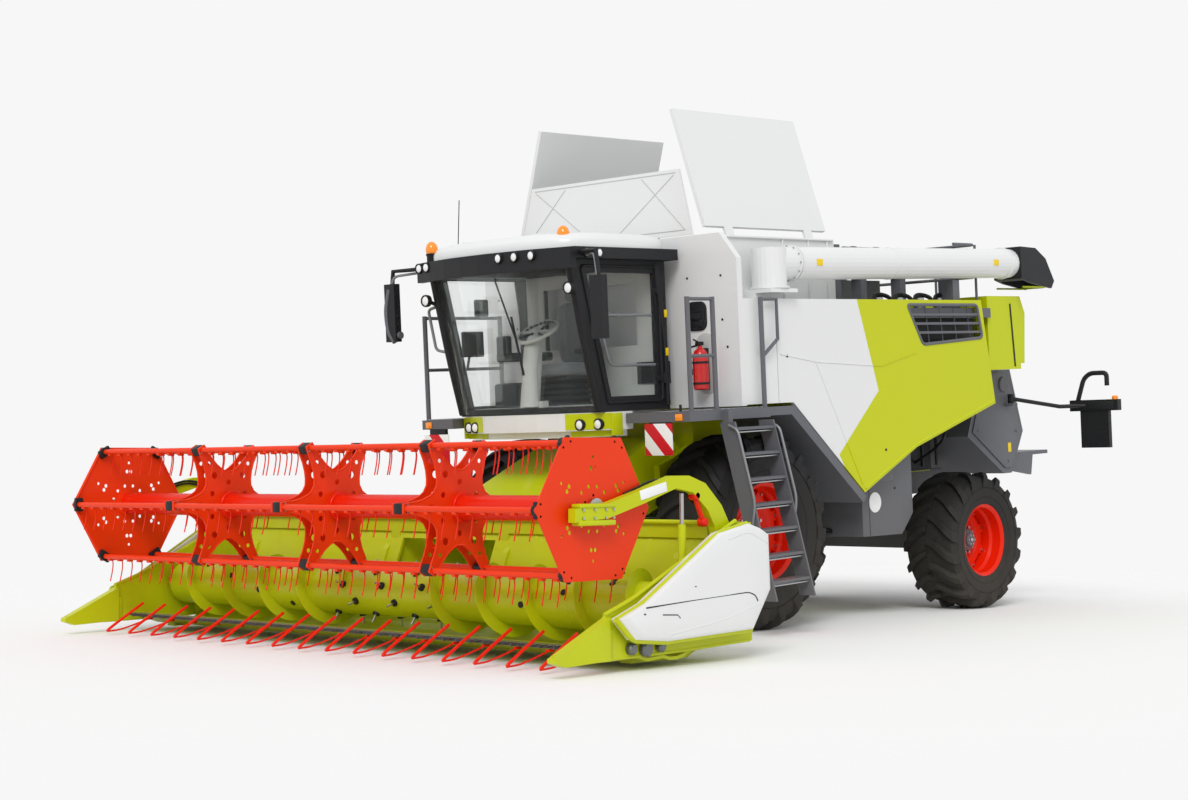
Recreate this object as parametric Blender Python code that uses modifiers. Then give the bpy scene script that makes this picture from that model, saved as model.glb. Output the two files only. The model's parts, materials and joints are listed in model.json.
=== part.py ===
"""Combine harvester with a cutter header, built as separate parts on named joints.

Units are metres, +Z is up, the machine drives towards -Y and +X is its left side.
Header, wheels and axles stand level on the ground. Everything carried by the chassis
is drawn in the chassis' own axes, which are nosed down a little by the levelling gear.
Heights are above the ground. Lengths are behind the reel's axis, and the root empty
then moves the whole machine so that the middle of its length is at Y = 0.
"""

import math

import bmesh
import bpy
from mathutils import Matrix, Vector

# ---------------------------------------------------------------- driving sizes
GAP = 0.0003  # between pieces that rest on each other
RUNNING = 0.006  # between a moving piece and what it passes
MID_LENGTH = 4.387  # from the reel's axis to the middle of the machine's length

NOSE_DOWN = math.radians(2.94)  # pitch of the chassis over the level axles
FRONT_AXLE = (3.779, 0.90)  # y, z of the front wheels' centres
REAR_AXLE = (7.460, 0.713)  # y, z of the rear wheels' centres
TRACK = 1.282  # half the distance between a pair of wheels

FRONT_TYRE = {"radius": 0.90, "width": 0.71, "rim": 0.432, "rim_width": 0.60}
REAR_TYRE = {"radius": 0.713, "width": 0.60, "rim": 0.356, "rim_width": 0.52}
HUB_RADIUS = 0.12
FLANGE_RISE = 0.027
FLANGE_THICK = 0.012
WHEEL_STEPS = 28
KINGPIN_X = 0.80

BODY_HALF = 0.80  # half the width of the threshing body
PANEL_X = 1.60  # inner face of the side panels
PANEL_THICK = 0.04
PANEL_TOP = 3.03
PANEL_FRONT = 3.98  # the covers ahead of this are fixed, beside the handrail
RAIL_TOP = 1.25
TANK_FRONT = 3.50
TANK_REAR = 5.42
TANK_FLOOR = 2.12
TANK_SHOULDER = 3.02
TANK_RIM = 3.64
DECK_TOP = 2.95
HOOD_FRONT = 7.66
HOOD_REAR = 8.28

CAB_HALF = 0.90
CAB_FLOOR = 2.06
CAB_CEILING = 3.42
CAB_REAR = 3.30
WALL = 0.06
HINGE_RADIUS = 0.0147
HINGE_BESIDE = 0.03  # from the door's rear edge to its hinges on the pillar

LID_HINGE_X = 1.22
LID_HEIGHT = 1.17
LID_LEAN = math.radians(17)
LID_THICK = 0.04
LID_RISE = 0.085  # height of the side lids' hinge above the rim
FRONT_LID_RISE = 0.012
FRONT_LID_LEAN = math.radians(3)

TUBE_X = 1.55  # unloading tube, folded back along the left side
TUBE_RADIUS = 0.155
TURRET_Y = 4.02
TURRET_BASE = 3.12

REEL_Z = 1.193
REEL_RADIUS = 0.556
REEL_HALF = 3.0
TINE_TUBE = 0.024
AUGER_Y = 0.72
AUGER_Z = 0.43
AUGER_TUBE = 0.20
AUGER_FLIGHT = 0.30
HEADER_HALF = 3.13  # inner face of the header's side walls
COVER_OUT = 3.30  # outer face of the header's side covers
FEEDER_HALF = 0.70
FEEDER_PIVOT = (3.35, 1.45)
FEEDER_DRUM = 0.33
TRUNNION_X = 0.706  # inner faces of the ears that hold the feeder house
REEL_PIVOT = (1.36, 1.00)
ARM_X = (3.035, 3.105)  # inner and outer faces of the reel arms
KNIFE_REAR = 0.205
SIDES = {"left": 1, "right": -1}

COLOURS = {
    "lime": ((0.48, 0.54, 0.0), 0.35, 0.0),
    "white": ((0.75, 0.76, 0.76), 0.3, 0.0),
    "grey": ((0.11, 0.12, 0.13), 0.45, 0.0),
    "black": ((0.02, 0.02, 0.022), 0.5, 0.0),
    "red": ((0.83, 0.03, 0.002), 0.35, 0.0),
    "tyre": ((0.015, 0.015, 0.016), 0.85, 0.0),
    "glass": ((0.55, 0.68, 0.66), 0.05, 0.0),
    "steel": ((0.45, 0.45, 0.46), 0.3, 1.0),
    "cloth": ((0.05, 0.055, 0.06), 0.9, 0.0),
}


# ---------------------------------------------------------------- scene and tools
def clear_scene():
    for old in list(bpy.data.objects):
        bpy.data.objects.remove(old, do_unlink=True)


def new_collection(name):
    made = bpy.data.collections.new(name)
    bpy.context.scene.collection.children.link(made)
    return made


clear_scene()
PARTS = new_collection("combine_harvester")


def empty(name, location=(0, 0, 0), pitch=0.0, parent=None):
    made = bpy.data.objects.new(name, None)
    PARTS.objects.link(made)
    made.parent = parent
    made.location = location
    made.rotation_euler = (pitch, 0, 0)
    return made


def pivot_frame(name, y, z, pitch, parent):
    """An empty whose own axes are turned about the line through y, z along X."""
    shift = Vector((0, y, z)) - Matrix.Rotation(pitch, 3, "X") @ Vector((0, y, z))
    return empty(name, shift, pitch, parent)


def in_chassis(y, z):
    """Ground coordinates y, z as the nosed-down chassis sees them."""
    dy = y - FRONT_AXLE[0]
    dz = z - FRONT_AXLE[1]
    c = math.cos(NOSE_DOWN)
    s = math.sin(NOSE_DOWN)
    return FRONT_AXLE[0] + dy * c + dz * s, FRONT_AXLE[1] - dy * s + dz * c


def scratch_object(mesh):
    made = bpy.data.objects.new("piece", mesh)
    bpy.context.scene.collection.objects.link(made)
    return made


def from_bmesh(bm):
    mesh = bpy.data.meshes.new("piece")
    bmesh.ops.recalc_face_normals(bm, faces=bm.faces)
    bm.to_mesh(mesh)
    bm.free()
    return scratch_object(mesh)


def as_mesh(obj, merge=1e-5):
    """Turn an object with modifiers, or a curve, into a plain welded mesh object."""
    graph = bpy.context.evaluated_depsgraph_get()
    mesh = bpy.data.meshes.new_from_object(obj.evaluated_get(graph))
    matrix = obj.matrix_world.copy()
    bpy.data.objects.remove(obj, do_unlink=True)
    bm = bmesh.new()
    bm.from_mesh(mesh)
    bmesh.ops.transform(bm, matrix=matrix, verts=bm.verts)
    bmesh.ops.remove_doubles(bm, verts=bm.verts, dist=merge)
    bpy.data.meshes.remove(mesh)
    return from_bmesh(bm)


def box(x, y, z):
    """A block between the given low and high x, y and z."""
    bm = bmesh.new()
    size = Matrix.Diagonal((x[1] - x[0], y[1] - y[0], z[1] - z[0], 1))
    middle = Matrix.Translation((sum(x) / 2, sum(y) / 2, sum(z) / 2))
    bmesh.ops.create_cube(bm, size=1, matrix=middle @ size)
    return from_bmesh(bm)


def bar(start, end, radius, sides=12, end_radius=None):
    """A round bar, or a cone, from one point to another."""
    start = Vector(start)
    run = Vector(end) - start
    turn = run.to_track_quat("Z", "Y").to_matrix().to_4x4()
    bm = bmesh.new()
    bmesh.ops.create_cone(
        bm,
        cap_ends=True,
        segments=sides,
        radius1=radius,
        radius2=radius if end_radius is None else end_radius,
        depth=run.length,
        matrix=Matrix.Translation(start + run / 2) @ turn,
    )
    return from_bmesh(bm)


def slab(outline, axis, low, high, holes=()):
    """A flat outline with any holes, extruded along X, Y or Z.

    The outline's numbers are (y, z) along X, (x, z) along Y and (x, y) along Z.
    """
    curve = bpy.data.curves.new("outline", "CURVE")
    curve.dimensions = "2D"
    curve.fill_mode = "BOTH"
    curve.extrude = (high - low) / 2
    for loop in (outline, *holes):
        spline = curve.splines.new("POLY")
        spline.points.add(len(loop) - 1)
        spline.use_cyclic_u = True
        for point, (a, b) in zip(spline.points, loop):
            point.co = (b, a, 0, 1) if axis == "Y" else (a, b, 0, 1)
    turns = {
        "X": Matrix(((0, 0, 1, 0), (1, 0, 0, 0), (0, 1, 0, 0), (0, 0, 0, 1))),
        "Y": Matrix(((0, 1, 0, 0), (0, 0, 1, 0), (1, 0, 0, 0), (0, 0, 0, 1))),
        "Z": Matrix.Identity(4),
    }
    obj = bpy.data.objects.new("outline", curve)
    bpy.context.scene.collection.objects.link(obj)
    obj.matrix_world = turns[axis] @ Matrix.Translation((0, 0, (low + high) / 2))
    bpy.context.view_layer.update()
    return as_mesh(obj)


def pipe(points, radius, sides=2):
    """A round tube of one bevelled curve through the points, with its ends capped."""
    curve = bpy.data.curves.new("pipe", "CURVE")
    curve.dimensions = "3D"
    curve.bevel_depth = radius
    curve.bevel_resolution = sides
    curve.use_fill_caps = True
    spline = curve.splines.new("POLY")
    spline.points.add(len(points) - 1)
    for point, place in zip(spline.points, points):
        point.co = (*place, 1)
    obj = bpy.data.objects.new("pipe", curve)
    bpy.context.scene.collection.objects.link(obj)
    bpy.context.view_layer.update()
    return as_mesh(obj)


def turned(profile, centre, steps=40, closed=False):
    """A shape turned about the X axis through centre, from (x, radius) points."""
    bm = bmesh.new()
    verts = [bm.verts.new((radius, 0, -x)) for x, radius in profile]
    for first, second in zip(verts, verts[1:]):
        bm.edges.new((first, second))
    if closed:
        bm.edges.new((verts[-1], verts[0]))
    mesh = bpy.data.meshes.new("profile")
    bm.to_mesh(mesh)
    bm.free()
    obj = scratch_object(mesh)
    screw = obj.modifiers.new("turn", "SCREW")
    screw.steps = steps
    screw.render_steps = steps
    screw.use_merge_vertices = True
    screw.merge_threshold = 0.0001
    obj.matrix_world = Matrix.Translation(centre) @ Matrix.Rotation(-math.pi / 2, 4, "Y")
    bpy.context.view_layer.update()
    return as_mesh(obj)


def boolean(base, tools, operation):
    for tool in tools:
        step = base.modifiers.new(operation.lower(), "BOOLEAN")
        step.operation = operation
        step.solver = "EXACT"
        step.object = tool
    bpy.context.view_layer.update()
    made = as_mesh(base)
    for tool in tools:
        bpy.data.objects.remove(tool, do_unlink=True)
    return made


def fuse(*pieces):
    """One closed solid from pieces that overlap."""
    return boolean(pieces[0], pieces[1:], "UNION")


def cut(base, *tools):
    return boolean(base, tools, "DIFFERENCE")


def moved(obj, matrix):
    """The piece with every point moved by a matrix."""
    obj.data.transform(matrix)
    return obj


def material(name):
    found = bpy.data.materials.get(name)
    if found:
        return found
    colour, roughness, metallic = COLOURS[name]
    made = bpy.data.materials.new(name)
    made.use_nodes = True
    shader = made.node_tree.nodes["Principled BSDF"]
    shader.inputs["Base Color"].default_value = (*colour, 1)
    shader.inputs["Roughness"].default_value = roughness
    shader.inputs["Metallic"].default_value = metallic
    return made


def place(name, obj, colour, parent, origin=(0, 0, 0)):
    """Name a finished piece, colour it and hang it on its parent at its origin."""
    obj.data.transform(Matrix.Translation(-Vector(origin)))
    obj.name = name
    obj.data.name = name
    obj.data.materials.clear()
    obj.data.materials.append(material(colour))
    for owner in list(obj.users_collection):
        owner.objects.unlink(obj)
    PARTS.objects.link(obj)
    obj.parent = parent
    obj.location = origin
    return obj


def arc(centre, radius, start, end, count):
    """Points on an arc, with angles in degrees."""
    points = []
    for step in range(count + 1):
        angle = math.radians(start + (end - start) * step / count)
        y = centre[0] + radius * math.cos(angle)
        z = centre[1] + radius * math.sin(angle)
        points.append((y, z))
    return points


def strip(points, thickness):
    """The outline of a bent sheet: a line of points and the same line offset to its left."""
    offset = []
    for index, point in enumerate(points):
        before = Vector(points[max(index - 1, 0)])
        after = Vector(points[min(index + 1, len(points) - 1)])
        here = Vector(point)
        first = (here - before).normalized()
        last = (after - here).normalized()
        if index == 0:
            first = last
        if index == len(points) - 1:
            last = first
        normal = Vector((-(first.y + last.y), first.x + last.x)).normalized()
        stretch = thickness / max(normal.dot(Vector((-first.y, first.x))), 0.4)
        offset.append(tuple(here + normal * stretch))
    return list(points) + offset[::-1]


ROOT = empty("machine", (0, -MID_LENGTH, 0))
CHASSIS = pivot_frame("chassis_frame", *FRONT_AXLE, NOSE_DOWN, ROOT)
REAR_IN_CHASSIS = in_chassis(*REAR_AXLE)


# ---------------------------------------------------------------- wheels and axles
def tyre(size, x, y, z):
    half = size["width"] / 2
    seat = size["rim_width"] / 2 - FLANGE_THICK - GAP
    radius = size["radius"]
    bead = size["rim"] + GAP
    wall = size["rim"] + FLANGE_RISE + 0.006
    bulge = (radius + wall) / 2
    profile = [
        (seat, bead),
        (-seat, bead),
        (-seat, wall),
        (-half, bulge),
        (-half + 0.03, radius - 0.07),
        (-half + 0.12, radius - 0.008),
        (0, radius),
        (half - 0.12, radius - 0.008),
        (half - 0.03, radius - 0.07),
        (half, bulge),
        (seat, wall),
    ]
    return turned(profile, (x, y, z), WHEEL_STEPS, closed=True)


def rim(size, x, y, z, side, dish):
    """A wheel disc and barrel; dish is how far the disc stands out from the middle."""
    edge = size["rim_width"] / 2
    barrel = size["rim"]
    flange = barrel + FLANGE_RISE
    profile = [
        (dish + 0.09, 0),
        (dish + 0.09, 0.11),
        (dish + 0.012, 0.15),
        (dish + 0.012, barrel - 0.06),
        (dish + 0.05, barrel - 0.014),
        (edge, barrel - 0.014),
        (edge, flange),
        (edge - FLANGE_THICK, flange),
        (edge - FLANGE_THICK, barrel),
        (-edge + FLANGE_THICK, barrel),
        (-edge + FLANGE_THICK, flange),
        (-edge, flange),
        (-edge, barrel - 0.014),
        (dish, barrel - 0.014),
        (dish - 0.012, barrel - 0.06),
        (dish - 0.012, 0),
    ]
    if side < 0:
        profile = [(-offset, radius) for offset, radius in profile]
    return turned(profile, (x, y, z), WHEEL_STEPS)


FRONT_DISH = 0.12
REAR_DISH = 0.04


def wheels():
    rows = (
        ("front", FRONT_TYRE, FRONT_AXLE, FRONT_DISH),
        ("rear", REAR_TYRE, REAR_AXLE, REAR_DISH),
    )
    for end, size, (y, z), dish in rows:
        for name, side in SIDES.items():
            at = (side * TRACK, y, z)
            place(f"{end}_tyre_{name}", tyre(size, *at), "tyre", ROOT, at)
            place(f"{end}_rim_{name}", rim(size, *at, side, dish), "red", ROOT, at)


def front_axle():
    y, z = FRONT_AXLE
    beam = box((-0.70, 0.70), (y - 0.14, y + 0.14), (z - 0.13, z + 0.0997))
    pieces = [beam]
    stub_end = TRACK + FRONT_DISH - 0.012 - GAP
    for side in SIDES.values():
        pieces.append(bar((side * 0.62, y, z), (side * 0.90, y, z), 0.30, 24))
        pieces.append(bar((side * 0.80, y, z), (side * stub_end, y, z), HUB_RADIUS, 20))
        pieces.append(box(sorted((side * 0.50, side * 0.56)), (3.42, y - 0.12), (0.74, z)))
    place("front_axle", fuse(*pieces), "grey", CHASSIS)


KINGPIN_HALF = 0.15


def rear_axle():
    y, z = REAR_AXLE
    beam = box((-KINGPIN_X, KINGPIN_X), (y - 0.10, y + 0.10), (z - 0.10, z + 0.10))
    pieces = [beam]
    for side in SIDES.values():
        x = side * KINGPIN_X
        low = (x, y, z - KINGPIN_HALF)
        high = (x, y, z + KINGPIN_HALF)
        pieces.append(bar(low, high, 0.10, 16))
    place("rear_axle", fuse(*pieces), "grey", ROOT)


def knuckles():
    y, z = REAR_AXLE
    plate = 0.05
    low = KINGPIN_HALF + GAP
    stub_end = TRACK + REAR_DISH - 0.012 - GAP
    for name, side in SIDES.items():
        x = side * KINGPIN_X
        inner = x - side * 0.09
        outer = x + side * 0.155
        pieces = [bar((outer - side * 0.03, y, z), (side * stub_end, y, z), 0.09, 20)]
        for way in (1, -1):
            span = sorted((z + way * low, z + way * (low + plate)))
            pieces.append(box(sorted((inner, outer)), (y - 0.09, y + 0.09), span))
        high = low + plate
        block = sorted((outer - side * 0.04, outer))
        pieces.append(box(block, (y - 0.09, y + 0.09), (z - high, z + high)))
        tube = fuse(*pieces)
        place(f"knuckle_{name}", tube, "grey", ROOT, (x, y, z))


# ---------------------------------------------------------------- chassis
def main_frame():
    pieces = []
    for side in SIDES.values():
        rail = sorted((side * 0.50, side * 0.62))
        pieces.append(box(rail, (3.72, 8.10), (1.00, RAIL_TOP)))
    for y in (3.80, 5.30, 7.46, 8.00):
        pieces.append(box((-0.56, 0.56), (y - 0.06, y + 0.06), (1.02, RAIL_TOP - 0.02)))
    y, z = REAR_IN_CHASSIS
    seat = (0.10 + GAP + 0.09 * math.sin(NOSE_DOWN)) / math.cos(NOSE_DOWN)
    pieces.append(box((-0.16, 0.16), (y - 0.09, y + 0.09), (z + seat, 1.10)))
    pieces.append(box((-0.16, 0.16), (y - 0.09, y + 0.09), (1.08, RAIL_TOP - 0.03)))
    place("main_frame", fuse(*pieces), "grey", CHASSIS)


def threshing_body():
    low = RAIL_TOP + GAP
    outline = [
        (3.72, low),
        (7.60, low),
        (7.60, 2.35),
        (HOOD_FRONT + 0.54, 2.40),
        (HOOD_FRONT + 0.54, DECK_TOP - 0.10 - GAP),
        (5.46, DECK_TOP - 0.10 - GAP),
        (5.46, TANK_FLOOR - GAP),
        (3.72, TANK_FLOOR - GAP),
    ]
    pieces = [slab(outline, "X", -BODY_HALF, BODY_HALF)]
    trunnion = [(3.25, 1.36), (3.74, 1.28), (3.74, 1.72), (3.45, 1.60), (3.25, 1.54)]
    locker = [(5.45, 0.72), (6.10, 0.70), (6.30, 0.90), (6.30, 1.62), (5.45, 1.42)]
    for side in SIDES.values():
        span = sorted((side * (BODY_HALF - 0.02), side * 1.45))
        pieces.append(slab(locker, "X", *span))
        span = sorted((side * TRUNNION_X, side * (BODY_HALF - 0.02)))
        pieces.append(slab(trunnion, "X", *span))
    place("threshing_body", fuse(*pieces), "grey", CHASSIS)


def grain_tank():
    outside = [
        (-1.56, TANK_FLOOR + 0.45),
        (-1.20, TANK_FLOOR),
        (1.20, TANK_FLOOR),
        (1.56, TANK_FLOOR + 0.45),
        (1.56, TANK_SHOULDER),
        (1.26, TANK_SHOULDER),
        (1.26, TANK_RIM),
        (-1.26, TANK_RIM),
        (-1.26, TANK_SHOULDER),
        (-1.56, TANK_SHOULDER),
    ]
    front = [
        (-1.64, CAB_FLOOR),
        (1.64, CAB_FLOOR),
        (1.64, 3.40),
        (1.45, TANK_RIM),
        (-1.45, TANK_RIM),
        (-1.64, 3.40),
    ]
    inside = [
        (-0.30, TANK_FLOOR + 0.08),
        (0.30, TANK_FLOOR + 0.08),
        (1.20, 2.90),
        (1.20, TANK_RIM + 0.1),
        (-1.20, TANK_RIM + 0.1),
        (-1.20, 2.90),
    ]
    pieces = [
        slab(outside, "Y", TANK_FRONT, TANK_REAR),
        slab(front, "Y", TANK_FRONT - 0.06, TANK_FRONT + 0.01),
    ]
    for side in SIDES.values():
        span = sorted((side * 1.54, side * (PANEL_X - GAP)))
        for y in (4.30, 5.00):
            pieces.append(box(span, (y, y + 0.10), (2.98, TANK_SHOULDER)))
        plate = sorted((side * PANEL_X, side * (PANEL_X + PANEL_THICK)))
        pieces.append(box(plate, (TANK_FRONT, PANEL_FRONT - 0.01), (2.07, PANEL_TOP)))
    seat_y = (TURRET_Y - 0.20, TURRET_Y + 0.20)
    pieces.append(box((1.25, 1.72), seat_y, (PANEL_TOP + 0.055, TURRET_BASE)))
    pieces.append(box((1.25, 1.54), seat_y, (TANK_SHOULDER - 0.03, TURRET_BASE - 0.01)))
    hollow = slab(inside, "Y", TANK_FRONT + WALL, TANK_REAR - WALL)
    place("grain_tank", cut(fuse(*pieces), hollow), "white", CHASSIS)


def engine_and_deck():
    low = DECK_TOP - 0.10
    deck = box((-PANEL_X + GAP, PANEL_X - GAP), (5.46, HOOD_FRONT - GAP), (low, DECK_TOP))
    pieces = [
        deck,
        box((-1.50, -0.72), (5.70, 7.10), (DECK_TOP - 0.02, 3.66)),
        box((-1.40, 1.05), (5.52, 5.80), (DECK_TOP - 0.02, 3.62)),
        bar((0.80, 6.20, 3.50), (0.80, 7.45, 3.50), 0.13, 16),
        box((0.74, 0.86), (6.40, 6.50), (DECK_TOP - 0.02, 3.42)),
        box((0.74, 0.86), (7.10, 7.20), (DECK_TOP - 0.02, 3.42)),
        bar((-0.35, 7.35, DECK_TOP - 0.02), (-0.35, 7.35, 3.60), 0.09, 16),
        box((1.40, 1.58), (7.00, 7.12), (DECK_TOP - 0.02, 3.24)),
    ]
    place("engine_deck", fuse(*pieces), "grey", CHASSIS)
    block = box((-0.55, 0.60), (5.95, 7.10), (DECK_TOP + GAP, 3.30))
    place("engine", block, "steel", CHASSIS)


def straw_hood():
    top = PANEL_TOP + 0.05
    outline = [(-1.56, 2.30), (-1.56, top), (1.56, top), (1.56, 2.30)]
    inner = [(-1.52, 2.30), (-1.52, top - 0.04), (1.52, top - 0.04), (1.52, 2.30)]
    arch = slab(outline + inner[::-1], "Y", HOOD_FRONT, HOOD_REAR)
    low = DECK_TOP - 0.30
    wall = box((-1.54, 1.54), (HOOD_FRONT, HOOD_FRONT + 0.04), (low + 0.2 + GAP, top))
    pieces = [arch, wall]
    for side in SIDES.values():
        lip = sorted((side * 1.16, side * 1.54))
        pieces.append(box(lip, (8.00, 8.24), (2.30, 2.33)))
    place("straw_hood", fuse(*pieces), "lime", CHASSIS)
    y = HOOD_REAR + RUNNING
    flap_outline = [(y, 2.36), (y + 0.10, 2.36), (y + 0.14, 2.9), (y + 0.05, top), (y, top)]
    flap = slab(flap_outline, "X", -1.54, 1.54)
    tab = box((-0.9, 0.9), (HOOD_REAR + GAP, y + 0.02), (top - 0.03, top))
    place("rear_hood", fuse(flap, tab), "lime", CHASSIS, (0, HOOD_REAR, top))


def straw_chopper():
    outline = [
        (7.68, 1.60),
        (7.98, 2.30 - GAP),
        (8.56, 2.30 - GAP),
        (8.78, 1.62),
        (8.52, 1.17),
        (8.36, 1.17),
    ]
    drum = slab(outline, "X", -1.18, 1.18)
    pieces = [drum]
    for side in SIDES.values():
        pieces.append(slab(outline, "X", *sorted((side * 1.17, side * 1.24))))
    pieces.append(box((-1.16, 1.16), (8.60, 9.41), (1.34, 1.38)))
    fin = [(8.60, 1.36), (9.10, 1.36), (9.05, 1.12), (8.55, 1.20)]
    for side in SIDES.values():
        pieces.append(slab(fin, "X", *sorted((side * 1.12, side * 1.16))))
    ear = box((1.22, 1.36), (8.40, 8.50), (1.90, 1.93))
    pieces.append(ear)
    place("straw_chopper", fuse(*pieces), "grey", CHASSIS)


MARKER_PIVOT = (1.31, 8.45, 1.93 + GAP)


def marker_arm():
    x, y, z = MARKER_PIVOT
    route = [(x, y, z + 0.05), (x + 0.35, y + 0.42, z - 0.06), (x + 0.62, y + 0.55, z - 0.06)]
    pieces = [
        bar((x, y, z), (x, y, z + 0.10), 0.035, 12),
        pipe(route, 0.022),
        box((1.72, 2.30), (y + 0.53, y + 0.61), (z - 0.12, z)),
        box((1.84, 2.18), (y + 0.54, y + 0.60), (z - 0.52, z - 0.11)),
    ]
    place("marker_arm", fuse(*pieces), "black", CHASSIS, MARKER_PIVOT)


# ---------------------------------------------------------------- covers on the sides
def side_panels():
    outline = [
        (PANEL_FRONT, PANEL_TOP),
        (PANEL_FRONT, 2.07),
        (4.19, 2.07),
        (5.25, 1.165),
        (6.15, 1.56),
        (7.62, 1.95),
        (7.42, PANEL_TOP),
    ]
    window = [(6.08, 2.98), (7.34, 2.98), (7.42, 2.64), (6.33, 2.58)]
    for name, side in SIDES.items():
        span = sorted((side * PANEL_X, side * (PANEL_X + PANEL_THICK)))
        panel = slab(outline, "X", *span, holes=(window,))
        bars = []
        for z in (2.70, 2.79, 2.88):
            middle = sorted((side * (PANEL_X + 0.012), side * (PANEL_X + 0.028)))
            bars.append(box(middle, (6.05, 7.42), (z - 0.008, z + 0.008)))
        colour = "white"
        panel = fuse(panel, *bars)
        at = (side * (PANEL_X + PANEL_THICK), 5.5, PANEL_TOP)
        place(f"side_panel_{name}", panel, colour, CHASSIS, at)


def fender_and_platform(name, side):
    fender = [
        (3.72, 1.96),
        (3.72, 2.04),
        (4.17, 2.04),
        (5.24, 1.13),
        (5.19, 1.07),
        (4.13, 1.96),
    ]
    inner = BODY_HALF + GAP
    outer = 1.72 if side > 0 else 1.40
    arch = slab(fender, "X", *sorted((side * inner, side * 1.66)))
    deck_span = sorted((side * 0.97, side * outer))
    front = 2.62 if side > 0 else 2.30
    deck = box(deck_span, (front, 3.74), (1.95, 2.04))
    pieces = [arch, deck]
    x = side * (outer - 0.03)
    top = 3.02
    if side > 0:
        posts = (2.68, 3.02, 3.70)
        rails = [
            [(x, 2.68, top), (x, 3.02, top)],
            [(x, 2.68, 2.52), (x, 3.02, 2.52)],
            [(x, 3.70, top), (x, 3.93, top), (x, 3.93, 2.66), (x, 3.70, 2.50)],
        ]
    else:
        posts = (2.36, 3.36)
        rails = [[(x, 2.36, top), (x, 3.36, top)], [(x, 2.36, 2.52), (x, 3.36, 2.52)]]
    for y in posts:
        pieces.append(bar((x, y, 1.99), (x, y, top + 0.02), 0.023, 10))
    for route in rails:
        pieces.append(pipe(route, 0.018, 1))
    place(f"platform_{name}", fuse(*pieces), "grey", CHASSIS)


LADDER_TOP = (1.77, 1.93)
LADDER_FOOT = (2.16, 0.36)
LADDER_SPAN = (3.06, 3.62)
LADDER_STEPS = 7


def ladder():
    (x0, z0), (x1, z1) = LADDER_TOP, LADDER_FOOT
    depth = 0.085
    outline = [(x0 - depth, z0), (x0 + depth, z0), (x1 + depth, z1), (x1 - depth, z1)]
    pieces = []
    for y in LADDER_SPAN:
        inward = y + 0.02 if y == LADDER_SPAN[0] else y - 0.02
        pieces.append(slab(outline, "Y", *sorted((y, inward))))
    for step in range(LADDER_STEPS):
        share = (step + 0.35) / LADDER_STEPS
        x = x0 + (x1 - x0) * share
        z = z0 + (z1 - z0) * share
        tread = box((x - 0.075, x + 0.075), (LADDER_SPAN[0] + 0.01, LADDER_SPAN[1] - 0.01), (z, z + 0.025))
        pieces.append(tread)
    hinge_y = LADDER_SPAN[0]
    pieces.append(box((1.72 + GAP, x0 + 0.02), (hinge_y, hinge_y + 0.06), (z0 - 0.06, 2.03)))
    place("ladder", fuse(*pieces), "grey", CHASSIS, (x0, hinge_y, z0))


# ---------------------------------------------------------------- cab
CAB_SIDE = [
    (2.36, CAB_FLOOR),
    (CAB_REAR, CAB_FLOOR),
    (CAB_REAR, CAB_CEILING),
    (2.05, CAB_CEILING),
]
CAB_DOORWAY = [(2.47, 2.14), (3.20, 2.14), (3.20, 3.36), (2.185, 3.36)]


def shrunk(outline, amount):
    """Move each corner of a convex outline inward so that every side moves by amount."""
    count = len(outline)
    corners = []
    for index in range(count):
        here = Vector(outline[index])
        first = (here - Vector(outline[index - 1])).normalized()
        last = (Vector(outline[(index + 1) % count]) - here).normalized()
        normal_first = Vector((-first.y, first.x))
        normal_last = Vector((-last.y, last.x))
        middle = (normal_first + normal_last).normalized()
        corners.append(tuple(here + middle * (amount / middle.dot(normal_first))))
    return corners


def cab_shell():
    pieces = []
    for side in SIDES.values():
        span = sorted((side * (CAB_HALF - WALL), side * CAB_HALF))
        pieces.append(slab(CAB_SIDE, "X", *span, holes=(CAB_DOORWAY,)))
    inner = CAB_HALF - 0.02
    pieces.append(box((-inner, inner), (2.37, CAB_REAR), (CAB_FLOOR, CAB_FLOOR + WALL)))
    pieces.append(box((-inner, inner), (2.08, CAB_REAR), (3.37, CAB_CEILING)))
    rear = [(-inner, CAB_FLOOR), (inner, CAB_FLOOR), (inner, 3.40), (-inner, 3.40)]
    rear_window = [(-0.62, 2.62), (0.62, 2.62), (0.62, 3.28), (-0.62, 3.28)]
    pieces.append(slab(rear, "Y", CAB_REAR - WALL, CAB_REAR, holes=(rear_window,)))
    for side in SIDES.values():
        foot = sorted((side * 0.60, side * 0.80))
        pieces.append(box(foot, (3.20, TANK_FRONT - 0.06 - GAP), (2.30, 2.50)))
    place("cab_shell", fuse(*pieces), "black", CHASSIS)


def cab_front(z):
    """How far back the leaning front edge of the cab's side is at height z."""
    (low_y, low_z), (high_y, high_z) = CAB_SIDE[0], CAB_SIDE[3]
    return low_y + (high_y - low_y) * (z - low_z) / (high_z - low_z)


DOOR_X = CAB_HALF - 0.045


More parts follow.
